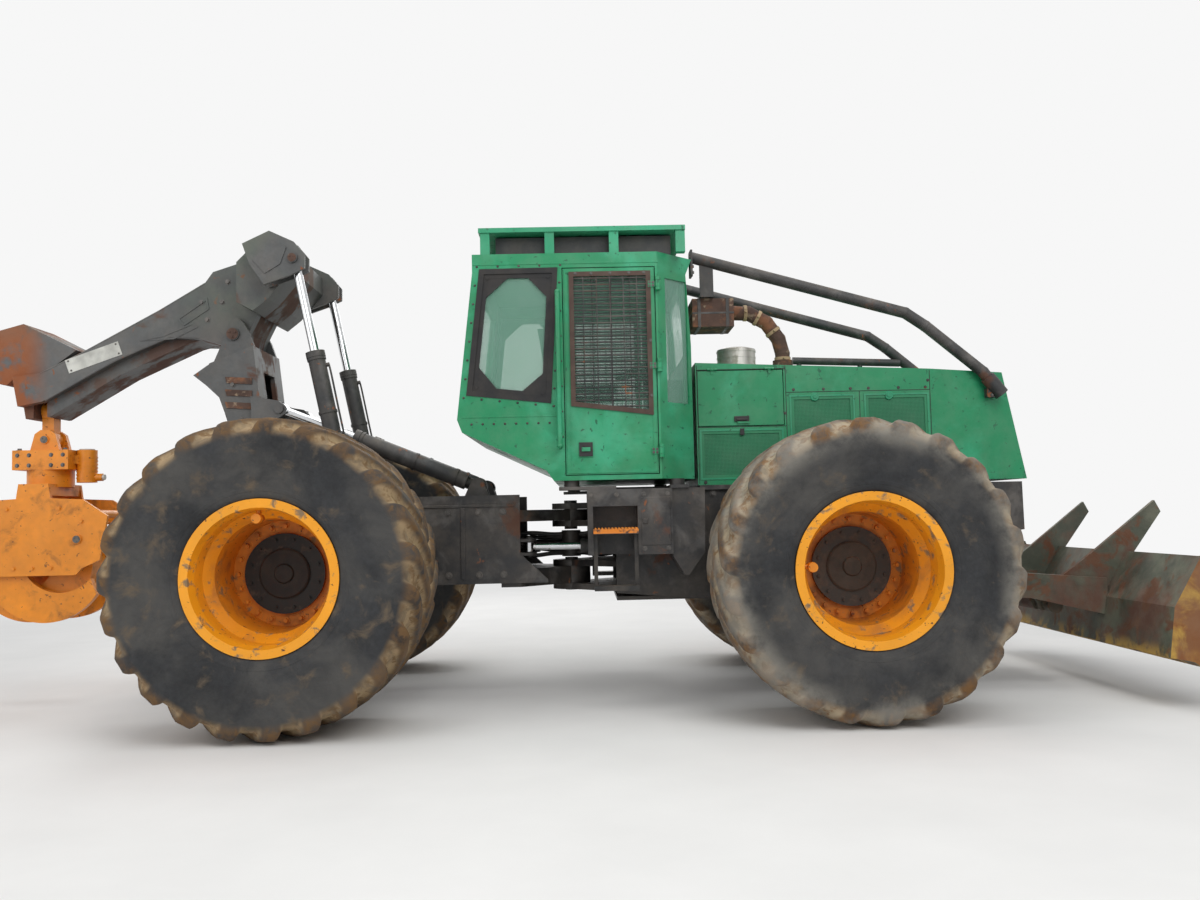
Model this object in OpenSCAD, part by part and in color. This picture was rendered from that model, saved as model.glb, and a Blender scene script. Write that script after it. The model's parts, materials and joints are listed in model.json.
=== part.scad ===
// Grapple skidder: a four-wheeled logging machine, hinged in the middle, with a blade in
// front, a cab over the hinge and an arch, boom and grapple behind.
// Row frame: +X forward, +Y to the machine's left, +Z up, origin on the ground below the
// middle of the overall box. Machine frame: the same axes with X = 0 at the centre hinge.

/* [Machine] */
// Distance between the front and rear axles
wheelbase = 3380; // [3200:10:3600]
// From the centre hinge to the rearmost edge of the grapple head
rear_reach = 4125; // [4100:5:4400]
// From the centre hinge to the tips of the blade horns
front_reach = 3900; // [3880:10:4100]
// Overall width over the tyres
machine_w = 3240; // [3160:10:3400]
// Running clearance between a pin and the bore around it
pin_fit = 0.05; // [0.02:0.01:0.1]
// Gap left where two pieces are seated on each other
seat_gap = 0.3; // [0.1:0.1:0.5]

/* [Wheels] */
// Rear tyre radius at the lug tips
rear_tyre_r = 901; // [880:1:920]
// Front tyre radius at the worn lug tips
front_tyre_r = 866; // [850:1:890]
// Width of a tyre across its side walls
tyre_w = 780; // [720:5:800]
// Lugs on each side of a rear tyre
rear_lugs = 23; // [20:1:26]
// Height of the rear tyres' lugs
rear_lug_h = 46; // [20:1:60]
// Lugs on each side of a front tyre
front_lugs = 22; // [20:1:26]
// Height of the front tyres' worn lugs
front_lug_h = 28; // [15:1:60]
// Angle by which a lug falls back from the middle to the shoulder
lug_lean = 20; // [10:1:28]
// Radius of the rim where the bead sits
bead_r = 406; // [400:1:410]
// Radius of the rim's outer flange
flange_r = 438; // [430:1:445]
// Width of the rim between its flanges
rim_w = 686; // [660:1:700]
// Thickness of the rim's metal
rim_t = 18; // [12:1:24]
// Depth from the rim's outer flange to the face of its centre disc
dish_depth = 530; // [480:5:560]
// Radius of the planetary hub
hub_r = 238; // [220:1:250]
// Length that the hub stands out of the disc
hub_proud = 30; // [20:1:60]

/* [Axles] */
// Radius of the axle housing
axle_r = 150; // [120:1:165]
// Radius of the spindle inside the hub
spindle_r = 80; // [60:1:100]

/* [Frames] */
// Half width over the frames' side plates
frame_half_w = 450; // [430:1:460]
// Thickness of the frames' plates
plate_t = 30; // [20:1:36]
// Height of the front frame's deck
front_deck_z = 1385; // [1375:1:1395]
// Height of the rear frame's deck
rear_deck_z = 1350; // [1330:1:1360]
// Radius of the centre hinge's pins
hinge_pin_r = 45; // [35:1:50]
// Radius of the hinge lugs
hinge_lug_r = 130; // [110:1:140]

/* [Cab] */
// Half width of the cab
cab_half_w = 800; // [780:5:820]
// Thickness of the cab's walls and doors
wall_t = 45; // [35:1:55]
// Half width of the cab's front face between its angled corners
cab_nose_half_w = 560; // [520:5:600]
// Gap around a closed door
door_gap = 6; // [5:0.5:8]
// Height of the roof plate's top
roof_z = 3040; // [3020:1:3060]
// Radius of a door's hinge pins
door_pin_r = 9; // [7:1:12]
// Thickness of the panes
pane_t = 8; // [6:1:12]

/* [Hood] */
// Half width of the hood
hood_half_w = 480; // [470:5:490]
// Half width of the hood's nose
nose_half_w = 360; // [340:5:365]
// Thickness of the hood's folded sheet
hood_t = 14; // [10:1:20]

/* [Boom and arch] */
// Half distance between the boom cylinders
boom_cyl_y = 470; // [465:1:480]
// Half distance between the arch cylinders
arch_cyl_y = 305; // [303:1:310]
// Radius of the boom and arch cylinders' barrels
barrel_r = 56; // [50:1:60]
// Radius of their rods
rod_r = 30; // [26:1:34]
// Radius of the arch and boom pivot pins
pivot_pin_r = 45; // [35:1:50]
// Half width of the boom
boom_half_w = 220; // [200:5:230]

/* [Grapple] */
// Half length of the grapple head's plates
head_half = 500; // [480:5:510]
// Half width over the grapple head's plates
head_half_w = 235; // [225:1:260]
// Half distance between the tongs' pins
tong_pin_x = 300; // [290:1:310]
// Radius of the tongs' pins
tong_pin_r = 30; // [24:1:31]

/* [Blade] */
// Half width of the blade
blade_half_w = 1320; // [1250:5:1350]
// Half distance between the blade's horns
horn_y = 470; // [450:5:600]

/* [Hidden] */

$fn = 48;
hinge_x = (rear_reach - front_reach) / 2;
front_axle_x = wheelbase / 2;
rear_axle_x = -wheelbase / 2;
wheel_y = (machine_w - tyre_w) / 2;
rim_plane = rim_w / 2;
disc_y = rim_plane - dish_depth;
hub_face = disc_y + hub_proud;
hub_back = disc_y - 90;
inner_y = frame_half_w - plate_t;
cut = 2;

// Pins, as [x, z] in the machine frame
BOOM_PIVOT = [-2270, 2490];
ARCH_PIVOT = [-1950, 1200];
BOOM_EYE = [-1790, 2940];
BOOM_FOOT = [-1490, 1500];
ARCH_EYE = [-1930, 1960];
ARCH_FOOT = [-610, 1415];
BLADE_PIVOT = [2350, 720];
BLADE_FOOT = [2620, 1180];
BLADE_EYE = [3120, 660];
grapple_x = -(rear_reach - head_half);
link_pin_z = 2010;
swing_pin_z = 1810;
rotator_z = 1560;
tong_pin_z = 1120;
// Horns of the tongs: their length, and their angle from level when closed
horn_r = 110;
horn_a = 135;
tong_cyl_len = 385;
blade_cyl_y = 300;
// Steering cylinder pins, as [x, y]
STEER_FOOT = [620, 270];
STEER_EYE = [-280, 300];
steer_z = 1000;

// Cab outline seen from the side
cab_floor_z = 1425;
cab_top_z = 2870;
CAB_SIDE = [[-583, cab_top_z], [-583, 2753], [-691, 1820], [-661, 1740], [-134, 1490],
            [-90, cab_floor_z], [817, cab_floor_z], [817, 2300], [790, 2760], [835, cab_top_z]];
DOOR_X = [-10, 570];
DOOR_Z = [1460, 2770];
door_hinge = [592, cab_half_w + 20];
DOOR_HINGE_Z = [1600, 2140, 2660];
SIDE_WINDOW = [[-520, 2755], [-62, 2758], [-116, 1935], [-608, 1990]];
DOOR_WINDOW = [[50, 1912], [525, 1851], [525, 2725], [50, 2725]];
pane_in = 14;
// Edges of a lug, then of the gap after it, as shares of the lugs' pitch
LUG_EDGES = [0, 0.3, 0.5, 0.8];

// Hood outline seen from the side, and its doors
hood_z = front_deck_z + seat_gap;
HOOD_SIDE = [[851, hood_z], [851, 2197], [1443, 2171], [2933, 2104], [3083, hood_z]];
LID_X = [865, 1430];
LID_Z = [1775, 2140];
lid_pin_r = 4;
// Lids and screens of the hood's side, as [x0, x1, z0, z1]
SCREENS = [[865, 1430, 1415, 1755], [1467, 1909, 1415, 1973], [1963, 2404, 1415, 1973]];
engine_z = 1099 + seat_gap;

module in_row() { translate([hinge_x, 0, 0]) children(); }

module both_sides() {
  children();
  mirror([0, 1, 0]) children();
}

// A plate with an X-Z outline that spans y0 to y1
module plate_xz(pts, y0, y1) {
  translate([0, y1, 0]) rotate([90, 0, 0]) linear_extrude(y1 - y0) polygon(pts);
}

// A plate with an X-Y outline that spans z0 to z1
module plate_xy(pts, z0, z1) {
  translate([0, 0, z0]) linear_extrude(z1 - z0) polygon(pts);
}

// A plate with a Y-Z outline that spans x0 to x1
module plate_yz(pts, x0, x1) {
  translate([x0, 0, 0]) rotate([90, 0, 90]) linear_extrude(x1 - x0) polygon(pts);
}

// A box between two corners
module block(a, b) { translate(a) cube(b - a); }

// A cylinder along Y at [x, z] from y0 to y1
module bar_y(at, r, y0, y1) {
  translate([at[0], y1, at[1]]) rotate([90, 0, 0]) cylinder(h = y1 - y0, r = r);
}

// A round bar between two points
module bar(a, b, r) {
  v = b - a;
  translate(a) rotate([0, acos(v[2] / norm(v)), atan2(v[1], v[0])]) cylinder(h = norm(v), r = r);
}

// A bent pipe through points, with a slightly proud ball at each corner
module pipe(pts, r) {
  for (i = [0:len(pts) - 2]) bar(pts[i], pts[i + 1], r);
  for (i = [1:len(pts) - 2]) translate(pts[i]) sphere(r = r + 1.5);
}

// Stands on a side-view pin and points local +X at another pin
module aim_xz(from, to) {
  translate([from[0], 0, from[1]]) rotate([0, -atan2(to[1] - from[1], to[0] - from[0]), 0]) children();
}

// A cylinder barrel: foot eye at the origin, its rod leaves along +X
module barrel(len, r, rod, eye_r, eye_w, pin_r) {
  neck = eye_r + 30;
  difference() {
    union() {
      rotate([90, 0, 0]) cylinder(h = eye_w, r = eye_r, center = true);
      rotate([0, 90, 0]) cylinder(h = neck + 2, r = min(r, eye_w / 2) - 2);
      translate([neck, 0, 0]) rotate([0, 90, 0]) cylinder(h = len - neck, r = r);
      translate([len - r * 0.7, 0, 0]) rotate([0, 90, 0]) cylinder(h = r * 0.7, r = r * 1.12);
    }
    rotate([90, 0, 0]) cylinder(h = eye_w + cut, r = pin_r + pin_fit, center = true);
    translate([neck + 8, 0, 0]) rotate([0, 90, 0]) cylinder(h = len, r = rod + pin_fit);
  }
}

// A cylinder rod: its eye lies span away along +X and its tail starts at tail
module rod(span, tail, r, eye_r, eye_w) {
  translate([tail, 0, 0]) rotate([0, 90, 0]) cylinder(h = span - tail - eye_r * 0.6, r = r);
  translate([span, 0, 0]) rotate([90, 0, 0]) cylinder(h = eye_w, r = eye_r, center = true);
}

// Heads of the pin of a rod's eye, on the outer faces of two ears of thickness t
module pin_heads(at, y, gap, t, r) {
  for (side = [-1, 1]) bar_y(at, r, min(y + side * (gap / 2 + t - 1), y + side * (gap / 2 + t + 14)),
    max(y + side * (gap / 2 + t - 1), y + side * (gap / 2 + t + 14)));
}

// Two ears and their pin round an eye of width eye_w at [x, z], centred on y
module clevis(at, y, eye_w, pin_r, outline, t) {
  for (side = [-1, 1]) {
    y0 = side > 0 ? y + eye_w / 2 + 6 : y - eye_w / 2 - 6 - t;
    plate_xz(outline, y0, y0 + t);
  }
  bar_y(at, pin_r, y - eye_w / 2 - 6 - t, y + eye_w / 2 + 6 + t);
}

// The welded plates are solids of their own, a seat_gap apart, so that the wells between them stay open.
module front_frame() {
  plate_y = inner_y - seat_gap;
  color("dimgray") in_row() difference() {
    union() {
      both_sides() {
        plate_xz([[300, 690], [300, front_deck_z], [3010, front_deck_z - 20], [3013, 1047], [2760, 1010],
                  [2560, 640], [900, 640]], inner_y, frame_half_w);
        // stub pin that carries a blade arm
        bar_y(BLADE_PIVOT, 50, frame_half_w, frame_half_w + 95);
        // bracket below a rear cab mount
        plate_xy([[-60, 640], [-60, 790], [110, 790], [300, 790], [300, 445], [180, 445]],
                 front_deck_z - 20, front_deck_z);
        for (x = [20, 690]) cylinder_at([x, 720, front_deck_z - 1], 48, cab_floor_z - front_deck_z + 1 - seat_gap);
        plate_xy([[640, 445], [640, 790], [760, 790], [760, 445]], front_deck_z - 20, front_deck_z);
      }
      block([300, -plate_y, 640], [2560, plate_y, 665]);
      block([300, -plate_y, front_deck_z - 25], [840, plate_y, front_deck_z]);
      block([2985, -plate_y, 1047], [3010, plate_y, front_deck_z - 20]);
      for (x = [1330, 2080]) block([x, -plate_y, 1045], [x + 120, plate_y, 1099]);
      block([2540, -plate_y, 1010], [2600, plate_y, 1040]);
      // hinge lugs, two above and two below
      for (z = [1130, 1250, 700, 860]) difference() {
        union() {
          cylinder_at([0, 0, z], hinge_lug_r, 40);
          plate_xy([[300, -plate_y], [400, -plate_y], [400, plate_y], [300, plate_y],
                    [0, hinge_lug_r - 2], [0, -hinge_lug_r + 2]], z, z + 40);
        }
      }
      // hinge pins
      cylinder_at([0, 0, 1110], hinge_pin_r, 200);
      cylinder_at([0, 0, 690], hinge_pin_r, 225);
      // feet of the steering cylinders
      both_sides() {
        for (z = [steer_z - 66, steer_z + 36]) {
          block([STEER_FOOT[0] - 55, STEER_FOOT[1] - 55, z], [STEER_FOOT[0] + 75, plate_y, z + 30]);
        }
        cylinder_at([STEER_FOOT[0], STEER_FOOT[1], steer_z - 66], 28, 132);
      }
      // feet of the blade cylinders
      both_sides() clevis(BLADE_FOOT, blade_cyl_y, 70, 28,
        [[2540, 1010], [2600, 1010], [2690, 1150], [2680, 1235], [2560, 1235], [2540, 1100]], 25);
      // rails that carry the hood
      both_sides() block([860, inner_y, front_deck_z - 30], [2405, hood_half_w, front_deck_z]);
    }
    // seat of the axle
    bar_y([front_axle_x, front_tyre_r], axle_r + seat_gap, -frame_half_w - cut, frame_half_w + cut);
  }
}

module cylinder_at(at, r, h) { translate(at) cylinder(h = h, r = r); }

module axle(x, z) {
  flange_t = 60;
  flange_y = wheel_y + hub_back - seat_gap;
  color("dimgray") in_row() {
    bar_y([x, z], axle_r, -flange_y + flange_t - 1, flange_y - flange_t + 1);
    both_sides() {
      bar_y([x, z], hub_r - 30, flange_y - flange_t, flange_y);
      bar_y([x, z], spindle_r, flange_y - 1, wheel_y + hub_face - 45);
    }
    translate([x, 0, z]) sphere(r = axle_r + 40);
  }
}

// Tyre: its lugs lean back from the middle of the tread to both shoulders
module tyre(x, side, r, lugs, deep) {
  h = tyre_w / 2;
  pitch = 360 / lugs;
  n = 4 * lugs;
  wide = 1 / cos(pitch / 2);
  // rings over the lugs, as [y, radius on the right lugs, radius on the left lugs]
  OUTER = [[-h, r - 95, r - 95], [-h + 55, r - 12, r - 12 - deep], [-20, r, r - deep],
           [20, r - deep, r], [h - 55, r - 12 - deep, r - 12], [h, r - 95, r - 95]];
  // rings of the beads and the hollow, as [y, radius]
  INNER = [[rim_plane + 10, flange_r + 60], [rim_plane - 38, bead_r + seat_gap], [rim_plane - 80, bead_r + seat_gap],
           [h - 55, r - 120], [-h + 55, r - 120], [-rim_plane + 80, bead_r + seat_gap],
           [-rim_plane + 38, bead_r + seat_gap], [-rim_plane - 10, flange_r + 60]];
  at = function(y, q, a) [q * cos(a), y, q * sin(a)];
  start = -90 - lug_lean * 20 / h;
  points = concat(
    [for (o = OUTER, k = [0:n - 1]) at(o[0], k % 4 < 2 ? o[1] : o[2],
      start + pitch * (floor(k / 4) + LUG_EDGES[k % 4]) + lug_lean * abs(o[0]) / h)],
    [for (o = INNER, k = [0:lugs - 1]) at(o[0], o[1] * wide, start + pitch * k + lug_lean)]);
  o = function(i, k) i * n + k % n;
  q = function(i, k) 6 * n + i * lugs + k % lugs;
  faces = concat(
    [for (i = [0:4], k = [0:n - 1])
      each [[o(i, k), o(i, k + 1), o(i + 1, k + 1)], [o(i, k), o(i + 1, k + 1), o(i + 1, k)]]],
    [for (i = [0:6], k = [0:lugs - 1])
      each [[q(i, k), q(i, k + 1), q(i + 1, k + 1)], [q(i, k), q(i + 1, k + 1), q(i + 1, k)]]],
    [for (k = [0:lugs - 1]) each [[o(5, 4 * k), o(5, 4 * k + 1), q(0, k)], [o(5, 4 * k + 1), o(5, 4 * k + 2), q(0, k)],
      [o(5, 4 * k + 2), q(0, k + 1), q(0, k)], [o(5, 4 * k + 2), o(5, 4 * k + 3), q(0, k + 1)],
      [o(5, 4 * k + 3), o(5, 4 * k + 4), q(0, k + 1)]]],
    [for (k = [0:lugs - 1]) each [[o(0, 4 * k + 1), o(0, 4 * k), q(7, k)], [o(0, 4 * k + 2), o(0, 4 * k + 1), q(7, k)],
      [q(7, k), q(7, k + 1), o(0, 4 * k + 2)], [o(0, 4 * k + 3), o(0, 4 * k + 2), q(7, k + 1)],
      [o(0, 4 * k + 4), o(0, 4 * k + 3), q(7, k + 1)]]]);
  color("black") in_row() translate([x, side * wheel_y, r]) polyhedron(points, faces);
}

// Rim: a deep barrel with flanges, a dished disc and the planetary hub
module rim(x, side, r) {
  ri = bead_r - rim_t;
  color("orange") in_row() translate([x, side * wheel_y, r]) rotate([-side * 90, 0, 0]) difference() {
    rotate_extrude($fn = 96)
      polygon([[ri, -rim_plane], [flange_r, -rim_plane], [flange_r, -rim_plane + 8], [bead_r + 2, -rim_plane + 26],
               [bead_r, -rim_plane + 30], [bead_r, rim_plane - 30], [bead_r + 2, rim_plane - 26],
               [flange_r, rim_plane - 8], [flange_r, rim_plane], [ri, rim_plane],
               [ri - 14, rim_plane - 70], [ri - 14, rim_plane - 190], [ri - 60, rim_plane - 250],
               [ri - 75, disc_y], [hub_r, disc_y], [hub_r, hub_face], [0, hub_face],
               [0, hub_back], [ri, hub_back + 30]]);
    translate([0, 0, hub_back - cut]) cylinder(h = hub_face - hub_back - 30 + cut, r = spindle_r + pin_fit);
  }
}

module engine_block() {
  color("gray") in_row() block([1300, -330, engine_z], [2250, 330, 1800]);
}

// The hood's plan, shrunk by t
module hood_plan(t) {
  polygon([[851 + t, -hood_half_w + t], [2410, -hood_half_w + t], [3090, -nose_half_w + t], [3090, nose_half_w - t],
           [2410, hood_half_w - t], [851 + t, hood_half_w - t]]);
}

module hood() {
  color("seagreen") in_row() difference() {
    union() {
      difference() {
        intersection() {
          plate_xz(HOOD_SIDE, -hood_half_w, hood_half_w);
          translate([0, 0, hood_z - cut]) linear_extrude(900) hood_plan(0);
        }
        intersection() {
          plate_xz([[851 + hood_t, hood_z - 1], [851 + hood_t, 2197 - hood_t], [1443, 2171 - hood_t],
                    [2933 - hood_t, 2104 - hood_t], [3083 - hood_t, hood_z - 1]], -hood_half_w, hood_half_w);
          translate([0, 0, hood_z - cut]) linear_extrude(900) hood_plan(hood_t);
        }
      }
      both_sides() {
        // frame behind the screens' edges
        for (x = [1431, 1916, 2411]) block([x, hood_half_w - 40, hood_z], [x + 32, hood_half_w - hood_t + 1, 2060]);
        // lid hinge knuckles on the hood
        for (x = [930, 1310]) {
          translate([0, hood_half_w + 9, LID_Z[1] + 9]) for (dx = [0, 44])
            bar([x + dx, 0, 0], [x + dx + 20, 0, 0], 8);
          translate([0, hood_half_w + 9, LID_Z[1] + 9]) bar([x, 0, 0], [x + 64, 0, 0], lid_pin_r);
          for (dx = [0, 44])
            block([x + dx, hood_half_w - 4, LID_Z[1] + 8], [x + dx + 20, hood_half_w + 8, LID_Z[1] + 16]);
        }
      }
    }
    both_sides() {
      block([LID_X[0] - door_gap, hood_half_w - hood_t - 1, LID_Z[0] - door_gap],
            [LID_X[1] + door_gap, hood_half_w + 1, LID_Z[1] + door_gap]);
      for (s = SCREENS) block([s[0], hood_half_w - hood_t - 1, s[2]], [s[1], hood_half_w + 1, s[3]]);
    }
    // nose opening for the grille
    block([2900, -nose_half_w + 60, hood_z + 60], [3100, nose_half_w - 60, 2000]);
    cylinder_at([1199, 0, 2100], 70, 120);
    cylinder_at([1490, -200, 2100], 68 + seat_gap, 120);
  }
}

module hood_screens() {
  color("darkseagreen") in_row() both_sides() for (s = SCREENS) difference() {
    block([s[0], hood_half_w - hood_t, s[2]], [s[1], hood_half_w, s[3]]);
    // the mesh lies behind a flat frame
    block([s[0] + 34, hood_half_w - 5, s[2] + 34], [s[1] - 34, hood_half_w + 1, s[3] - 34]);
  }
}

module grille() {
  w = nose_half_w - 60 - seat_gap;
  z0 = hood_z + 60 + seat_gap;
  color("dimgray") in_row() intersection() {
    plate_xz([[3083 - hood_t, hood_z], [2933 - hood_t, 2104], [2933, 2104], [3083, hood_z]], -w, w);
    union() {
      for (i = [0:11]) block([2900, -w, z0 + i * (2000 - z0) / 12], [3100, w, z0 + i * (2000 - z0) / 12 + 22]);
      for (y = [-w, -15, w - 30]) block([2900, y, z0], [3100, y + 30, 2000 - seat_gap]);
    }
  }
}

// The cab's plan, shrunk by t
module cab_plan(t) {
  polygon([[-720, -cab_half_w + t], [590 - t * 0.4, -cab_half_w + t], [860 - t, -cab_nose_half_w + t * 0.4 + 20],
           [860 - t, cab_nose_half_w - t * 0.4 - 20], [590 - t * 0.4, cab_half_w - t], [-720, cab_half_w - t]]);
}

module corner_window(t) {
  both_sides() translate([708, 668, 2310]) rotate([0, 0, -44.5]) cube([210, t, 800], center = true);
}

module cab_shell() {
  w = wall_t;
  color("seagreen") in_row() difference() {
    union() {
      difference() {
        intersection() {
          plate_xz(CAB_SIDE, -cab_half_w, cab_half_w);
          translate([0, 0, 1300]) linear_extrude(1700) cab_plan(0);
        }
        intersection() {
          plate_xz([[-583 + w, cab_top_z - 30], [-583 + w, 2753], [-691 + w, 1820], [-661 + w + 5, 1740 + w],
                    [-134, 1490 + w], [-90, cab_floor_z + w], [817 - w, cab_floor_z + w], [817 - w, 2300],
                    [790 - w, 2760], [810 - w, cab_top_z - 30]], -cab_half_w, cab_half_w);
          translate([0, 0, 1300]) linear_extrude(1700) cab_plan(w);
        }
      }
      both_sides() {
        for (z = DOOR_HINGE_Z) {
          for (dz = [-42, 22]) {
            cylinder_at([door_hinge[0], door_hinge[1], z + dz], 18, 20);
            block([578, cab_half_w - 20, z + dz], [604, door_hinge[1], z + dz + 20]);
          }
          cylinder_at([door_hinge[0], door_hinge[1], z - 42], door_pin_r, 84);
        }
        // grab rail behind the door
        pipe([[-45, cab_half_w - 5, 1640], [-45, cab_half_w + 60, 1640], [-45, cab_half_w + 60, 2610],
              [-45, cab_half_w - 5, 2610]], 16);
      }
    }
    both_sides() {
      plate_xz(SIDE_WINDOW, cab_half_w - w - 1, cab_half_w + 1);
      block([DOOR_X[0] - door_gap, cab_half_w - w - 1, DOOR_Z[0] - door_gap],
            [DOOR_X[1] + door_gap, cab_half_w + 1, DOOR_Z[1] + door_gap]);
    }
    corner_window(160);
    block([-760, -560, 1960], [-480, 560, 2700]);
    block([700, -500, 2240], [900, 500, 2720]);
  }
}

module cab_glass() {
  color("lightcyan") in_row() {
    both_sides() plate_xz(SIDE_WINDOW, cab_half_w - pane_in - pane_t, cab_half_w - pane_in);
    intersection() {
      corner_window(pane_t);
      translate([0, 0, 1300]) linear_extrude(1700) cab_plan(0);
    }
    intersection() {
      plate_xz([[-583 + 14, 2753], [-691 + 14, 1820], [-691 + 14 + pane_t, 1820], [-583 + 14 + pane_t, 2753]],
        -560, 560);
      block([-760, -560, 1960], [-480, 560, 2700]);
    }
    intersection() {
      plate_xz([[817 - 22, 2300], [790 - 22, 2760], [790 - 14, 2760], [817 - 14, 2300], [817 - 14, 2200],
        [817 - 22, 2200]], -500, 500);
      block([700, -500, 2240], [900, 500, 2720]);
    }
  }
}

module roof_guard() {
  color("mediumseagreen") in_row() {
    block([-541, -cab_half_w, roof_z - 30], [777, cab_half_w, roof_z]);
    both_sides() for (x = [-530, -120, 290, 715])
      block([x, cab_half_w - 70, cab_top_z + seat_gap], [x + 60, cab_half_w - 10, roof_z - 29]);
    for (x = [-530, 715]) block([x, -30, cab_top_z + seat_gap], [x + 60, 30, roof_z - 29]);
  }
}

module roof_unit() {
  color("darkslategray") in_row()
    block([-440, -cab_half_w + 100, cab_top_z + seat_gap], [690, cab_half_w - 100, roof_z - 42]);
}

module seat() {
  floor_z = cab_floor_z + wall_t + seat_gap;
  color("black") in_row() {
    block([-20, -150, floor_z], [260, 150, floor_z + 300]);
    block([-110, -250, floor_z + 299], [400, 250, floor_z + 430]);
    plate_xz([[-110, floor_z + 429], [30, floor_z + 429], [-90, floor_z + 1020], [-200, floor_z + 1020]], -230, 230);
    both_sides() block([-60, 270, floor_z + 560], [330, 340, floor_z + 610]);
    both_sides() block([-60, 249, floor_z + 380], [0, 340, floor_z + 570]);
  }
}

module controls() {
  floor_z = cab_floor_z + wall_t + seat_gap;
  color("darkslategray") in_row() {
    block([560, -430, floor_z], [765, 430, floor_z + 620]);
    bar([600, 0, floor_z + 560], [520, 0, floor_z + 760], 28);
    translate([520, 0, floor_z + 760]) rotate([0, -22, 0]) rotate_extrude() translate([185, 0]) circle(r = 14);
    translate([520, 0, floor_z + 760]) rotate([0, -22, 0]) for (a = [0, 120, 240]) rotate([0, 0, a])
      bar([0, 0, 0], [185, 0, 0], 12);
    for (y = [-330, -280, -230]) bar([600, y, floor_z + 610], [560, y, floor_z + 760], 9);
  }
}

module limb_risers() {
  TUBE = [[838.5, 460, 2912], [2271, 460, 2508], [2403, 460, 2417], [2779, 460, 2099], [2887, 460, 1962]];
  color("dimgray") in_row() {
    both_sides() {
      pipe(TUBE, 38);
      bar(TUBE[3] * 0.75 + TUBE[4] * 0.25, TUBE[4] * 1.1 - TUBE[3] * 0.1, 48);
      block([835.3, 400, 2780], [850, 520, 2950]);
    }
    // feet on the hood's sloping sides
    both_sides() plate_xy([[2800, 411.6], [2860, 401], [2860, 465], [2800, 465]], 1930, 1990);
    // rusty rail on the hood's left side
    bar([1690, 440, 2330], [2500, 440, 2297], 28);
    for (p = [[1740, 2158], [2200, 2137.5]]) cylinder_at([p[0], 440, p[1] + 1], 18, 2310 - p[1]);
    // hanger of the silencer
    block([900, -470, 2640 + seat_gap], [990, -445, 2870]);
    block([900, -470, 2640 + seat_gap], [990, -380, 2665]);
  }
}

module exhaust() {
  PIPE = [[1490, -200, 2160], [1490, -200, 2290], [1465, -200, 2390], [1385, -200, 2505], [1260, -200, 2575],
          [1110, -200, 2580]];
  color("sienna") in_row() {
    pipe(PIPE, 50);
    block([850, -420, 2449], [1129, -120, 2640]);
    cylinder_at([1490, -200, 2145], 68, 95);
  }
}

module air_precleaner() {
  color("silver") in_row() {
    cylinder_at([1199, 0, 2080], 69.7, 160);
    cylinder_at([1199, 0, 2220], 135, 130);
  }
}

// Side boxes between the centre hinge and the front wheels, with the step's notch
module side_tanks() {
  y0 = frame_half_w + seat_gap;
  color("dimgray") in_row() both_sides() {
    difference() {
      union() {
        block([116, y0 + 35, 953], [310, cab_half_w, front_deck_z - 20.3]);
        block([309, y0, 953], [649, cab_half_w, front_deck_z - 20.3]);
      }
      block([150, 620, 940], [430, cab_half_w + 1, 1258]);
    }
    plate_xz([[649, 940], [649, front_deck_z - 20.3], [859, front_deck_z - 20.3], [850, 960], [747, 818],
      [720, 818]], y0, cab_half_w - 30);
  }
}

module side_steps() {
  color("orange") in_row() both_sides() {
    block([150.3, 640, 1085], [429.7, cab_half_w + 80, 1115]);
    for (x = [150.3, 405]) {
      block([x, cab_half_w - 40, 740], [x + 24, cab_half_w - 16, 1086]);
    }
    block([150.3, cab_half_w - 60, 735], [429, cab_half_w + 60, 765]);
  }
}

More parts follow.
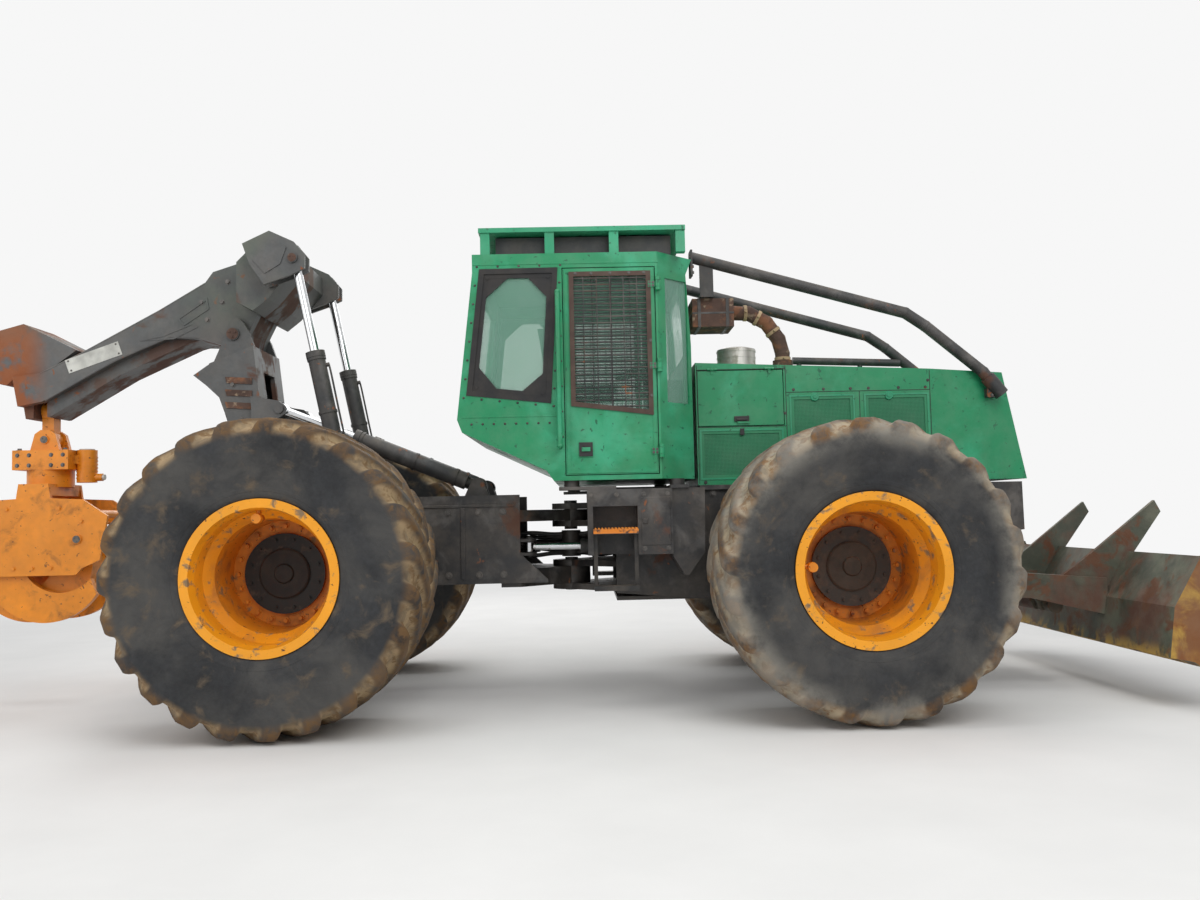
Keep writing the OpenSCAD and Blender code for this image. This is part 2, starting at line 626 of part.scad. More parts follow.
module rear_frame() {
  plate_y = inner_y - seat_gap;
  step_z = 1290;
  REAR_SIDE = [[-2420, 860], [-2450, 1250], [-2400, step_z], [-330, step_z], [-330, 960], [-150, 790], [-150, 770],
               [-1300, 770], [-2200, 790]];
  // raised edge beside the deck
  DECK_EDGE = [[-1180, step_z + seat_gap], [-1060, rear_deck_z], [-330, rear_deck_z], [-330, step_z + seat_gap]];
  color("dimgray") in_row() difference() {
    union() {
      both_sides() {
        plate_xz(REAR_SIDE, inner_y, frame_half_w);
        plate_xz(DECK_EDGE, inner_y, frame_half_w);
        // foot ears of the arch cylinders
        clevis(ARCH_FOOT, arch_cyl_y, 70, 32,
          [[-700, rear_deck_z - 1], [-540, rear_deck_z - 1], [-575, 1455], [-650, 1455]], 22);
        // ears of the steering cylinders' rods
        for (z = [steer_z - 56, steer_z + 36]) {
          plate_xy([[-451, 240], [STEER_EYE[0], STEER_EYE[1] - 50], [STEER_EYE[0], STEER_EYE[1] + 50], [-451, 360]],
            z, z + 20);
          cylinder_at([STEER_EYE[0], STEER_EYE[1], z], 50, 20);
        }
        for (z = [steer_z - 68, steer_z + 55]) cylinder_at([STEER_EYE[0], STEER_EYE[1], z], 26, 13);
      }
      block([-480, -plate_y, 770], [-450, plate_y, rear_deck_z]);
      block([-1150, -plate_y, rear_deck_z - 25], [-450, plate_y, rear_deck_z]);
      block([-2445, -plate_y, 860], [-2405, plate_y, 1240]);
      block([-2200, -plate_y, 770], [-451, plate_y, 790]);
      // hitch plate
      block([-2540, -90, 880], [-2404, 90, 915]);
      // hinge lugs between the front frame's
      for (z = [1172, 742]) {
        h = z > 1000 ? 76 : 116;
        cylinder_at([0, 0, z], hinge_lug_r, h);
        plate_xy([[-460, -plate_y], [-330, -plate_y], [0, -hinge_lug_r + 2], [0, hinge_lug_r - 2], [-330, plate_y],
                  [-460, plate_y]], z, z + h);
      }
      bar_y(ARCH_PIVOT, pivot_pin_r, -plate_y, plate_y);
      both_sides() bar_y(ARCH_PIVOT, 95, inner_y, frame_half_w + 20);
    }
    for (z = [1172, 742]) cylinder_at([0, 0, z - cut], hinge_pin_r + pin_fit, 120);
    cylinder_at([-2490, 0, 870], 26, 60);
    bar_y([rear_axle_x, rear_tyre_r], axle_r + seat_gap, -frame_half_w - cut, frame_half_w + cut);
    block([rear_axle_x - 215, -215, 700], [rear_axle_x + 215, 215, 800]);
  }
}

module door() {
  difference() {
    union() {
      difference() {
        block([DOOR_X[0], cab_half_w - wall_t, DOOR_Z[0]], [DOOR_X[1], cab_half_w, DOOR_Z[1]]);
        plate_xz(DOOR_WINDOW, cab_half_w - wall_t - 1, cab_half_w + 1);
      }
      // guard bars over the window
      for (i = [0:18]) block([49, cab_half_w - 14, 1945 + i * 41], [526, cab_half_w - 6, 1951 + i * 41]);
      for (x = [170, 290, 410]) block([x, cab_half_w - 13, 1850], [x + 6, cab_half_w - 7, 2726]);
      // hinge straps and knuckles
      for (z = DOOR_HINGE_Z) {
        block([530, cab_half_w - 1, z - 20], [DOOR_X[1], cab_half_w + 12, z + 20]);
        block([DOOR_X[1] - 5, cab_half_w + 2, z - 20], [door_hinge[0], cab_half_w + 12, z + 20]);
        cylinder_at([door_hinge[0], door_hinge[1], z - 20], 18, 40);
      }
      // latch
      block([70, cab_half_w - 1, 1570], [160, cab_half_w + 8, 1665]);
      block([88, cab_half_w + 7, 1605], [142, cab_half_w + 22, 1630]);
    }
    for (z = DOOR_HINGE_Z)
      cylinder_at([door_hinge[0], door_hinge[1], z - 20 - cut], door_pin_r + pin_fit, 40 + 2 * cut);
  }
}

module door_glass() {
  plate_xz(DOOR_WINDOW, cab_half_w - wall_t + 6, cab_half_w - wall_t + 6 + pane_t);
}

module lid() {
  y = hood_half_w;
  z = LID_Z[1];
  difference() {
    union() {
      block([LID_X[0], y - hood_t, LID_Z[0]], [LID_X[1], y, z]);
      for (x = [930, 1310]) {
        block([x + 22, y - 1, z - 25], [x + 42, y + 6, z]);
        block([x + 22, y + 1, z - 1], [x + 42, y + 12, z + 9]);
        bar([x + 22, y + 9, z + 9], [x + 42, y + 9, z + 9], 8);
      }
      block([1120, y - 1, LID_Z[0] + 12], [1200, y + 10, LID_Z[0] + 52]);
    }
    for (x = [930, 1310]) bar([x + 20, y + 9, z + 9], [x + 44, y + 9, z + 9], lid_pin_r + pin_fit);
  }
}

// Blade, its push arms and its two horns, welded as one
module blade() {
  MOLDBOARD = [[3450, 310], [3490, 600], [3660, 890], [3730, 870], [3585, 610], [3545, 440], [3570, 330], [3560, 300]];
  EDGE = [[3520, 330], [3580, 340], [3660, 262], [3640, 250]];
  END_PLATE = [[3450, 310], [3490, 600], [3660, 890], [3760, 905], [3850, 700], [3830, 420], [3660, 262], [3560, 290]];
  HORN = [[3163, 690], [3224, 740], [3293, 785], [3466, 912], [front_reach - 38, 1220], [front_reach, 1145],
          [3714, 891], [3600, 666], [3560, 560], [3471, 600]];
  ARM = [[2290, 660], [2290, 790], [2420, 810], [3000, 760], [3500, 720], [3500, 480], [3000, 600], [2400, 640]];
  arm_y0 = frame_half_w + 6;
  color("darkolivegreen") in_row() difference() {
    union() {
      plate_xz(MOLDBOARD, -blade_half_w, blade_half_w);
      plate_xz(EDGE, -blade_half_w, blade_half_w);
      both_sides() {
        plate_xz(END_PLATE, blade_half_w - 25, blade_half_w);
        plate_xz(HORN, horn_y, horn_y + 30);
        plate_xz(ARM, arm_y0, arm_y0 + 84);
        bar_y(BLADE_PIVOT, 95, arm_y0, arm_y0 + 84);
        for (y = [blade_cyl_y - 62, blade_cyl_y + 41]) plate_xz([[3240, 500], [3140, 500], [3070, 640], [3080, 710],
          [3150, 710], [3240, 580]], y, y + 21);
        pin_heads(BLADE_EYE, blade_cyl_y, 82, 21, 24);
      }
      bar_y([3190, 540], 50, -arm_y0 - 1, arm_y0 + 1);
    }
    bar_y(BLADE_PIVOT, 50 + pin_fit, -arm_y0 - 90, arm_y0 + 90);
  }
}

module blade_barrels() {
  color("dimgray") in_row() for (y = [-blade_cyl_y, blade_cyl_y]) translate([0, y, 0])
    aim_xz(BLADE_FOOT, BLADE_EYE) barrel(430, 40, 24, 44, 70, 28);
}

module blade_rods() {
  color("silver") in_row() for (y = [-blade_cyl_y, blade_cyl_y]) translate([0, y, 0])
    aim_xz(BLADE_FOOT, BLADE_EYE) rod(norm(BLADE_EYE - BLADE_FOOT), 195, 24, 38, 70);
}

// Stands on a steering cylinder's foot and points local +X at its eye, pins upright
module aim_steer() {
  v = STEER_EYE - STEER_FOOT;
  translate([STEER_FOOT[0], STEER_FOOT[1], steer_z]) rotate([0, 0, atan2(v[1], v[0])]) rotate([90, 0, 0]) children();
}

module steer_barrel() { aim_steer() barrel(555, 42, 25, 42, 60, 28); }

module steer_rod() { aim_steer() rod(norm(STEER_EYE - STEER_FOOT), 306, 25, 38, 60); }

module arch() {
  COLUMN = [[-2090, 1140], [-2290, 1870], [-2420, 2286], [-2124, 2402], [-2060, 1860], [-1960, 1500], [-1880, 1200],
            [-1950, 1100]];
  INSIDE = [[-2060, 1150], [-2258, 1880], [-2380, 2270], [-2150, 2350], [-2092, 1862], [-1990, 1500], [-1910, 1210]];
  FOOT = [[-2150, 1190], [-2150, 1520], [-1950, 1565], [-1500, 1575], [-1430, 1540], [-1415, 1480], [-1450, 1430],
          [-1800, 1115], [-1950, 1095]];
  EYE_EAR = [[-2110, 1870], [-2120, 2050], [-1930, 2015], [-1885, 1975], [-1885, 1930], [-1930, 1900]];
  PIVOT_EAR = [[-2410, 2280], [-2325, 2475], [-2300, 2570], [-2245, 2605], [-2200, 2570], [-2164, 2506], [-2125, 2395]];
  FIN = [[-2415, 2284], [-2526, 2207], [-2439, 2137], [-2352, 2054], [-2290, 1880]];
  y1 = boom_half_w + 80;
  color("dimgray") in_row() difference() {
    union() {
      difference() {
        plate_xz(COLUMN, -y1, y1);
        plate_xz(INSIDE, -y1 + 30, y1 - 30);
        // windows in the column's front and rear walls
        block([-2200, -120, 1980], [-1990, 120, 2240]);
        block([-2120, -120, 1560], [-1900, 120, 1800]);
      }
      both_sides() {
        plate_xz(FOOT, 375, inner_y - 10);
        bar_y(ARCH_PIVOT, 105, y1 - 30, inner_y - 10);
        block([-2140, y1 - 10, 1260], [-2050, 380, 1500]);
        plate_xz(FIN, y1 - 30, y1);
        plate_xz(PIVOT_EAR, boom_half_w + 15, boom_half_w + 45);
        for (y = [arch_cyl_y - 63, arch_cyl_y + 41]) plate_xz(EYE_EAR, y, y + 22);
        block([-2115, y1 - 40, 1870], [-2050, arch_cyl_y + 63, 2045]);
        bar_y(ARCH_EYE, 30, arch_cyl_y + 62, arch_cyl_y + 77);
        // stub pin that carries a boom cylinder
        bar_y(BOOM_FOOT, 35, 376, boom_cyl_y + 60);
        bar_y(BOOM_FOOT, 52, boom_cyl_y + 41, boom_cyl_y + 62);
      }
      bar_y(BOOM_PIVOT, pivot_pin_r, -boom_half_w - 58, boom_half_w + 58);
    }
    bar_y(ARCH_PIVOT, pivot_pin_r + pin_fit, -inner_y, inner_y);
  }
}

module arch_barrels() {
  color("dimgray") in_row() for (y = [-arch_cyl_y, arch_cyl_y]) translate([0, y, 0])
    aim_xz(ARCH_FOOT, ARCH_EYE) barrel(900, barrel_r, rod_r, 58, 70, 32);
}

module arch_rods() {
  color("silver") in_row() for (y = [-arch_cyl_y, arch_cyl_y]) translate([0, y, 0])
    aim_xz(ARCH_FOOT, ARCH_EYE) rod(norm(ARCH_EYE - ARCH_FOOT), 440, rod_r, 45, 70);
}

module boom() {
  // The tip's points hang on grapple_x, so that a longer reach lengthens the beam.
  tip = grapple_x;
  TOP = [[tip - 158, 2232], [tip + 31, 2256], [tip + 320, 2394], [-2783, 2674], [-2476, 2856], [-2422, 2931], [-2237, 2990]];
  BOX = concat(TOP, [[-2080, 2960], [-2080, 2700], [-2180, 2500], [-2200, 2420], [-2270, 2390], [-2340, 2420],
                     [-2510, 2470], [-2720, 2480], [-3080, 2330], [tip + 45, 2060], [tip - 120, 2030]]);
  KEEL = [[tip - 135, 2150], [-2500, 2700], [-2500, 2480], [-2620, 2450], [-3080, 2242], [tip + 65, 1962],
          [tip - 100, 1950]];
  HEAD = [[-2121, 3042], [-1944, 3125], [-1782, 3049], [-1710, 2960], [-1711, 2870], [-1809, 2824], [-1978, 2767],
          [-2075, 2908]];
  CROSS = [[-2200, 2950], [-2130, 3020], [-1950, 3060], [-1830, 3020], [-1830, 2890], [-1990, 2700], [-2090, 2620],
           [-2200, 2680]];
  GUARD = [[tip - 265, 2190], [tip - 300, 2545], [tip - 95, 2600], [tip + 265, 2412], [tip + 65, 2265],
           [tip - 155, 2225], [tip - 205, 2180]];
  GUARD_HOLLOW = [[tip - 275, 2300], [tip - 265, 2520], [tip - 105, 2560], [tip + 125, 2430], [tip + 25, 2330]];
  y0 = boom_cyl_y - 63;
  color("dimgray") in_row() difference() {
    union() {
      plate_xz(BOX, -boom_half_w, boom_half_w);
      plate_xz(KEEL, -boom_half_w + 70, boom_half_w - 70);
      plate_xz(CROSS, -y0 - 1, y0 + 1);
      both_sides() {
        for (y = [y0, boom_cyl_y + 41]) plate_xz(HEAD, y, y + 22);
        bar_y(BOOM_EYE, 34, boom_cyl_y + 62, boom_cyl_y + 77);
      }
      plate_xz([[-2121, 3042], [-1944, 3125], [-1944, 3085], [-2110, 3010]], -boom_cyl_y - 63, boom_cyl_y + 63);
      plate_xz(GUARD, -boom_half_w + 20, boom_half_w - 20);
      // pin that carries the crosshead
      bar([grapple_x - 66, 0, link_pin_z], [grapple_x + 66, 0, link_pin_z], 32);
    }
    bar_y(BOOM_PIVOT, pivot_pin_r + pin_fit, -boom_half_w - cut, boom_half_w + cut);
    // pocket in the tip, open below, round the crosshead
    difference() {
      block([grapple_x - 46, -150, 1900], [grapple_x + 46, 150, link_pin_z + 95]);
      bar([grapple_x - 66, 0, link_pin_z], [grapple_x + 66, 0, link_pin_z], 32);
    }
    // recesses in the sides
    both_sides() plate_xz([[-2763, 2720], [-2592, 2850], [-2560, 2830], [-2640, 2760], [-2750, 2690]],
      boom_half_w - 12, boom_half_w + 1);
    // hollow of the guard on the tip
    plate_xz(GUARD_HOLLOW, -boom_half_w + 40, boom_half_w - 40);
  }
}

module boom_barrels() {
  color("dimgray") in_row() for (y = [-boom_cyl_y, boom_cyl_y]) translate([0, y, 0])
    aim_xz(BOOM_FOOT, BOOM_EYE) barrel(840, barrel_r, rod_r, 62, 70, 35);
}

module boom_rods() {
  color("silver") in_row() for (y = [-boom_cyl_y, boom_cyl_y]) translate([0, y, 0])
    aim_xz(BOOM_FOOT, BOOM_EYE) rod(norm(BOOM_EYE - BOOM_FOOT), 400, rod_r, 45, 70);
}

module crosshead() {
  color("orange") in_row() translate([grapple_x, 0, 0]) difference() {
    union() {
      bar([-40, 0, link_pin_z], [40, 0, link_pin_z], 65);
      block([-40, -48, swing_pin_z], [40, 48, link_pin_z]);
      bar_y([0, swing_pin_z], 60, -48, 48);
    }
    bar([-50, 0, link_pin_z], [50, 0, link_pin_z], 32 + pin_fit);
    bar_y([0, swing_pin_z], 30 + pin_fit, -50, 50);
  }
}

// Fixed half of the rotator, with its motor
module swivel_housing() {
  color("orange") in_row() translate([grapple_x, 0, 0]) {
    both_sides() plate_xz([[-110, 1700], [-70, swing_pin_z + 40], [-30, swing_pin_z + 68], [30, swing_pin_z + 68],
                           [70, swing_pin_z + 40], [110, 1700]], 54, 90);
    bar_y([0, swing_pin_z], 30, -100, 100);
    block([-190, -150, rotator_z + 40], [190, 150, 1735]);
    cylinder_at([0, 0, rotator_z], 150, 41);
    cylinder_at([250, 0, 1510], 66, 226);
    block([150, -60, 1640], [250, 60, 1700]);
    bar([250, 0, 1545], [360, 0, 1545], 26);
    // shaft of the rotator
    cylinder_at([0, 0, 1500], 50, 70);
  }
}

module grapple_head() {
  HALF = [[0, 1500], [100, 1500], [115, 1400], [330, 1389], [head_half, 1274], [450, 978], [330, 925], [290, 880],
          [0, 880]];
  color("orange") in_row() translate([grapple_x, 0, 0]) difference() {
    union() {
      for (m = [0, 1]) mirror([m, 0, 0]) {
        for (y = [-head_half_w, head_half_w - 25]) plate_xz(HALF, y, y + 25);
        bar_y([430, 1285], 28, -head_half_w + 1, head_half_w - 1);
        bar_y([tong_pin_x, tong_pin_z], tong_pin_r, -head_half_w - 14, head_half_w + 14);
      }
      block([-100, -head_half_w + 1, 1420], [100, head_half_w - 1, 1500]);
      cylinder_at([0, 0, 1480], 150, rotator_z - seat_gap - 1480);
    }
    cylinder_at([0, 0, 1495], 50 + pin_fit, 80);
  }
}

// Curved tong arm seen from the side: pinned at -tong_pin_x, its tip beyond the middle
module tong_arm() {
  intersection() {
    difference() {
      translate([65, 970]) circle(r = 410, $fn = 96);
      translate([165, 1030]) circle(r = 270, $fn = 96);
    }
    polygon([[-475, 1180], [-230, 1180], [-40, 1050], [125, 950], [365, 860], [425, 700], [325, 400], [-475, 400]]);
  }
}

// A tong: arms, hubs and the horns that the cylinder pushes, as [y0, y1] of its arm
module tong(y0, y1) {
  EYE = [-tong_pin_x + horn_r * cos(horn_a), tong_pin_z + horn_r * sin(horn_a)];
  PIN = [-tong_pin_x, tong_pin_z];
  difference() {
    union() {
      both_sides() {
        translate([0, y1, 0]) rotate([90, 0, 0]) linear_extrude(y1 - y0) tong_arm();
        bar_y(PIN, 62, 56, y1);
        bar_y(EYE, 26, 79, 92);
        plate_xz([PIN + [-45, 30], EYE + [-38, -14], EYE + [-30, 24], EYE + [10, 38], EYE + [38, 10], PIN + [50, 35]],
                 56, 80);
      }
      children();
    }
    bar_y(PIN, tong_pin_r + pin_fit, -y1 - cut, y1 + cut);
  }
}

module tong_twin() {
  color("darkorange") in_row() translate([grapple_x, 0, 0]) tong(140, 190)
    {
      block([-335, -145, 900], [-290, 145, 1010]);
      bar_y([-tong_eye_x, tong_eye_z], 18, -80, 80);
    }
}

module tong_single() {
  color("darkorange") in_row() translate([grapple_x, 0, 0]) mirror([1, 0, 0]) tong(56, 110)
    translate([0, 60, 0]) rotate([90, 0, 0]) linear_extrude(120) intersection() {
      tong_arm();
      polygon([[-475, 1000], [-300, 1000], [0, 900], [365, 860], [425, 700], [325, 400], [-475, 400]]);
    }
}

tong_eye_x = tong_pin_x - horn_r * cos(horn_a);
tong_eye_z = tong_pin_z + horn_r * sin(horn_a);

module grapple_barrel() {
  color("dimgray") in_row() translate([grapple_x - tong_eye_x, 0, tong_eye_z]) barrel(tong_cyl_len, 38, 22, 35, 96, 18);
}

module grapple_rod() {
  color("silver") in_row() translate([grapple_x - tong_eye_x, 0, tong_eye_z]) rod(2 * tong_eye_x, 356, 22, 35, 96);
}

front_frame();
axle(front_axle_x, front_tyre_r);  // front_axle
engine_block();
hood();
hood_screens();
grille();
cab_shell();
cab_glass();
roof_guard();
roof_unit();
seat();
controls();
limb_risers();
exhaust();
air_precleaner();
side_tanks();
side_steps();
rear_frame();
axle(rear_axle_x, rear_tyre_r);  // rear_axle
tyre(front_axle_x, -1, front_tyre_r, front_lugs, front_lug_h);  // tyre_front_right
rim(front_axle_x, -1, front_tyre_r);  // rim_front_right
tyre(front_axle_x, 1, front_tyre_r, front_lugs, front_lug_h);  // tyre_front_left
rim(front_axle_x, 1, front_tyre_r);  // rim_front_left
tyre(rear_axle_x, -1, rear_tyre_r, rear_lugs, rear_lug_h);  // tyre_rear_right
rim(rear_axle_x, -1, rear_tyre_r);  // rim_rear_right
tyre(rear_axle_x, 1, rear_tyre_r, rear_lugs, rear_lug_h);  // tyre_rear_left
rim(rear_axle_x, 1, rear_tyre_r);  // rim_rear_left
color("seagreen") in_row() mirror([0, 1, 0]) door();  // door_right
color("lightcyan") in_row() mirror([0, 1, 0]) door_glass();  // door_glass_right
color("seagreen") in_row() door();  // door_left
color("lightcyan") in_row() door_glass();  // door_glass_left
color("seagreen") in_row() mirror([0, 1, 0]) lid();  // lid_right
color("seagreen") in_row() lid();  // lid_left
blade();
blade_barrels();
blade_rods();
color("dimgray") in_row() mirror([0, 1, 0]) steer_barrel();  // steer_barrel_right
color("silver") in_row() mirror([0, 1, 0]) steer_rod();  // steer_rod_right
color("dimgray") in_row() steer_barrel();  // steer_barrel_left
color("silver") in_row() steer_rod();  // steer_rod_left
arch();
arch_barrels();
arch_rods();
boom();
boom_barrels();
boom_rods();
crosshead();
swivel_housing();
grapple_head();
tong_twin();
tong_single();
grapple_barrel();
grapple_rod();
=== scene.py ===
import json
import math
import random

import bmesh
import bpy
from mathutils import Matrix, Vector


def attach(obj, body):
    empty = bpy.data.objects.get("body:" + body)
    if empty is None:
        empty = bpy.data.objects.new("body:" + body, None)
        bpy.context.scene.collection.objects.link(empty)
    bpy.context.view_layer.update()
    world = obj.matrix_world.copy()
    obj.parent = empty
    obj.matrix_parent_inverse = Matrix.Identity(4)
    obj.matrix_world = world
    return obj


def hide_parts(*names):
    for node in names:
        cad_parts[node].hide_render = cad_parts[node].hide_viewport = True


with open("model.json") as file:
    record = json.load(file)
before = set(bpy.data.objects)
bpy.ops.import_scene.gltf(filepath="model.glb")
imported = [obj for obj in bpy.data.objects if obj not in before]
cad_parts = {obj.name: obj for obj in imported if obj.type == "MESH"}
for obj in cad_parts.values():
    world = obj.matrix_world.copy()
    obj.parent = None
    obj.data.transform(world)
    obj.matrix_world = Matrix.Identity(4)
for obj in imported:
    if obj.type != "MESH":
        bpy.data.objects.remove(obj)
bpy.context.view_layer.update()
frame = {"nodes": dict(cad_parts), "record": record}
NODES = frame["nodes"]
SCENE = bpy.context.scene
# Sizes are in metres in the machine frame, whose X starts at the centre hinge. m() turns them into the row frame.
HINGE_X = 0.1125
AXLES = {"front": (1.69, 0.866), "rear": (-1.69, 0.901)}  # x, and z, which is also the tyre's radius
WHEEL_Y = 1.23
# side faces, as distances from the middle
CAB_Y, HOOD_Y, FRAME_Y, RISER_Y = 0.8, 0.48, 0.45, 0.465
ARM_Y, BLADE_END_Y = 0.541, 1.319
BOOM_Y, KEEL_Y, CHEEK_Y, ARCH_Y = 0.22, 0.1505, 0.5335, 0.30
ROTATOR_Y, GRAPPLE_Y = 0.150, 0.235
STEP_Z = 1.089  # lower edge of the steps' tread
HUB_R = 0.238
DOOR_WINDOW = [(0.05, 1.912), (0.525, 1.851), (0.525, 2.725), (0.05, 2.725)]


def m(x, y, z):
    return Vector((x + HINGE_X, y, z))


# ----------------------------------------------- materials
MIX_SOCKETS = {"RGBA": (0, 6, 7, 2), "FLOAT": (0, 2, 3, 0)}  # a Mix node's factor, A, B and result
NOISE_LOW, NOISE_HIGH = 0.32, 0.68  # most of a noise lies between these


class Surface:
    """A node material in layers: a base, patches by noise masks, dust and fine bump."""

    def __init__(self, name, color, rough=0.5, metal=0.0, spec=0.5):
        self.m = bpy.data.materials.new(name)
        self.m.use_nodes = True
        self.t = self.m.node_tree
        self.t.nodes.clear()
        out = self.new("ShaderNodeOutputMaterial")
        self.b = self.new("ShaderNodeBsdfPrincipled")
        self.t.links.new(self.b.outputs[0], out.inputs[0])
        self.co = self.new("ShaderNodeTexCoord").outputs["Object"]
        self.color, self.rough, self.metal = color, rough, metal
        self.put(self.b, Specular_IOR_Level=spec)
        self.heights = []

    def new(self, kind, **props):
        n = self.t.nodes.new(kind)
        for k, v in props.items():
            setattr(n, k, v)
        return n

    def link(self, a, b):
        if isinstance(a, (int, float)):
            b.default_value = a
        elif isinstance(a, tuple):
            b.default_value = (*a, 1.0)[:len(b.default_value)]
        else:
            self.t.links.new(a, b)

    def put(self, node, **values):
        for name, value in values.items():
            node.inputs[name.replace("_", " ")].default_value = value

    def math(self, op, a, b=0.0, clamp=False):
        n = self.new("ShaderNodeMath", operation=op, use_clamp=clamp)
        self.link(a, n.inputs[0])
        self.link(b, n.inputs[1])
        return n.outputs[0]

    def times(self, a, b, clamp=False):
        return self.math("MULTIPLY", a, b, clamp)

    def ramp(self, value, lo, hi):
        n = self.new("ShaderNodeMapRange", clamp=True)
        n.interpolation_type = "SMOOTHSTEP"
        self.link(value, n.inputs["Value"])
        self.put(n, From_Min=lo, From_Max=hi)
        return n.outputs["Result"]

    def band(self, value, rise, fall):
        """1 between two values, with the ramps that lead up to it and down from it."""
        return self.times(self.ramp(value, *rise), self.ramp(value, *fall))

    def noise(self, scale, detail=5.0, rough=0.55, stretch=(1, 1, 1), shift=0.0, warp=0.0):
        place = self.new("ShaderNodeMapping")
        self.link(self.co, place.inputs["Vector"])
        self.put(place, Scale=stretch, Location=(shift, shift * 0.7, shift * 1.3))
        n = self.new("ShaderNodeTexNoise")
        self.link(place.outputs[0], n.inputs["Vector"])
        self.put(n, Scale=scale, Detail=detail, Roughness=rough, Distortion=warp)
        return n.outputs["Fac"]

    def xyz(self):
        s = self.new("ShaderNodeSeparateXYZ")
        self.link(self.co, s.inputs[0])
        return s.outputs

    def from_axle(self, axle):
        """The distance from an axle's line."""
        cx, cz = AXLES[axle]
        x, _, z = self.xyz()
        dx, dz = self.math("SUBTRACT", x, m(cx, 0, 0).x), self.math("SUBTRACT", z, cz)
        return self.math("SQRT", self.math("ADD", self.times(dx, dx), self.times(dz, dz)))

    def from_middle(self):
        """The distance from the machine's middle plane."""
        return self.math("ABSOLUTE", self.xyz()[1])

    def up(self):
        g = self.new("ShaderNodeNewGeometry")
        s = self.new("ShaderNodeSeparateXYZ")
        self.link(g.outputs["Normal"], s.inputs[0])
        return s.outputs[2]

    def mix(self, kind, mask, a, b):
        factor, first, second, result = MIX_SOCKETS[kind]
        n = self.new("ShaderNodeMix", data_type=kind)
        for value, socket in ((mask, factor), (a, first), (b, second)):
            self.link(value, n.inputs[socket])
        return n.outputs[result]

    def blend(self, mask, color, rough=None, metal=None):
        """Lays a colour, roughness and metal over what is there, by mask."""
        self.color = self.mix("RGBA", mask, self.color, color)
        if rough is not None:
            self.rough = self.mix("FLOAT", mask, self.rough, rough)
        if metal is not None:
            self.metal = self.mix("FLOAT", mask, self.metal, metal)

    def shade(self, value, lo=0.8, hi=1.15):
        """Varies the brightness of the colour by value."""
        n = self.new("ShaderNodeMapRange")
        self.link(value, n.inputs["Value"])
        self.put(n, From_Min=0.3, From_Max=0.7, To_Min=lo, To_Max=hi)
        v = self.new("ShaderNodeVectorMath", operation="SCALE")
        self.link(self.color, v.inputs[0])
        self.link(n.outputs["Result"], v.inputs["Scale"])
        self.color = v.outputs[0]
        return self

    def height(self, value, amount):
        self.heights.append((value, amount))

    def patches(self, color, scale, cover, rough=0.85, metal=0.0, soft=0.08, shift=0.0, stretch=(1, 1, 1), detail=8.0,
                bump=0.0, within=None):
        """Patches of another finish; cover from 0 to 1 is about the share that they take."""
        f = self.noise(scale, detail, 0.6, stretch, shift, 0.4)
        edge = NOISE_HIGH - (NOISE_HIGH - NOISE_LOW) * cover
        mask = self.ramp(f, edge - soft, edge + soft)
        if within is not None:
            mask = self.times(mask, within, True)
        self.blend(mask, color, rough, metal)
        if bump:
            self.height(mask, bump)

    def dust(self, color, amount, scale=6.0, shift=3.0):
        """Dust, mostly on what faces up."""
        up = self.ramp(self.up(), -0.2, 1.0)
        f = self.ramp(self.noise(scale, 8, 0.65, shift=shift), 0.35, 0.7)
        mask = self.times(self.math("ADD", self.times(up, 0.75), 0.25), f)
        self.blend(self.times(mask, amount, True), color, 0.9, 0.0)

    def done(self, grain=0.0, grain_scale=400.0, strength=0.35):
        self.link(self.color, self.b.inputs["Base Color"])
        self.link(self.rough, self.b.inputs["Roughness"])
        self.link(self.metal, self.b.inputs["Metallic"])
        if grain:
            self.height(self.noise(grain_scale, 3), grain)
        last = None
        for value, amount in self.heights:
            n = self.new("ShaderNodeBump")
            self.put(n, Strength=strength, Distance=abs(amount))
            n.invert = amount < 0
            self.link(value, n.inputs["Height"])
            if last is not None:
                self.link(last, n.inputs["Normal"])
            last = n.outputs[0]
        if last is not None:
            self.link(last, self.b.inputs["Normal"])
        return self.m


DUST = (0.36, 0.29, 0.22)
DUST_PALE = (0.30, 0.36, 0.28)
RUST = (0.22, 0.075, 0.03)
RUST_DARK = (0.10, 0.045, 0.028)


def green_paint(name="green_paint", color=(0.008, 0.240, 0.095), guard=False):
    s = Surface(name, color, 0.34)
    s.shade(s.noise(1.3, 4), 0.84, 1.14).shade(s.noise(9, 6, 0.6, (1, 1, 0.35)), 0.94, 1.06)
    s.patches((0.035, 0.37, 0.19), 2.2, 0.22, 0.55, soft=0.12, shift=4.0)
    s.patches((0.004, 0.11, 0.05), 26, 0.10, 0.6, soft=0.03, shift=9.0)
    s.dust(DUST_PALE, 0.30, 7, 2.0)
    if guard:
        # the guard bars in the window, behind the door's face, are bare dark steel
        x, _, z = s.xyz()
        (x0, _), (x1, _) = DOOR_WINDOW[0], DOOR_WINDOW[1]
        across = s.band(x, [m(x0 + e, 0, 0).x for e in (-0.001, 0.003)], [m(x1 + e, 0, 0).x for e in (0.002, -0.002)])
        bars = s.times(across, s.band(z, (1.84, 1.85), (2.726, 2.720)))
        s.blend(s.times(bars, s.ramp(s.from_middle(), CAB_Y - 0.0045, CAB_Y - 0.0055)), (0.012, 0.012, 0.011), 0.6)
    s.height(s.noise(3.2, 3), 0.004)
    return s.done(0.0006, 260)


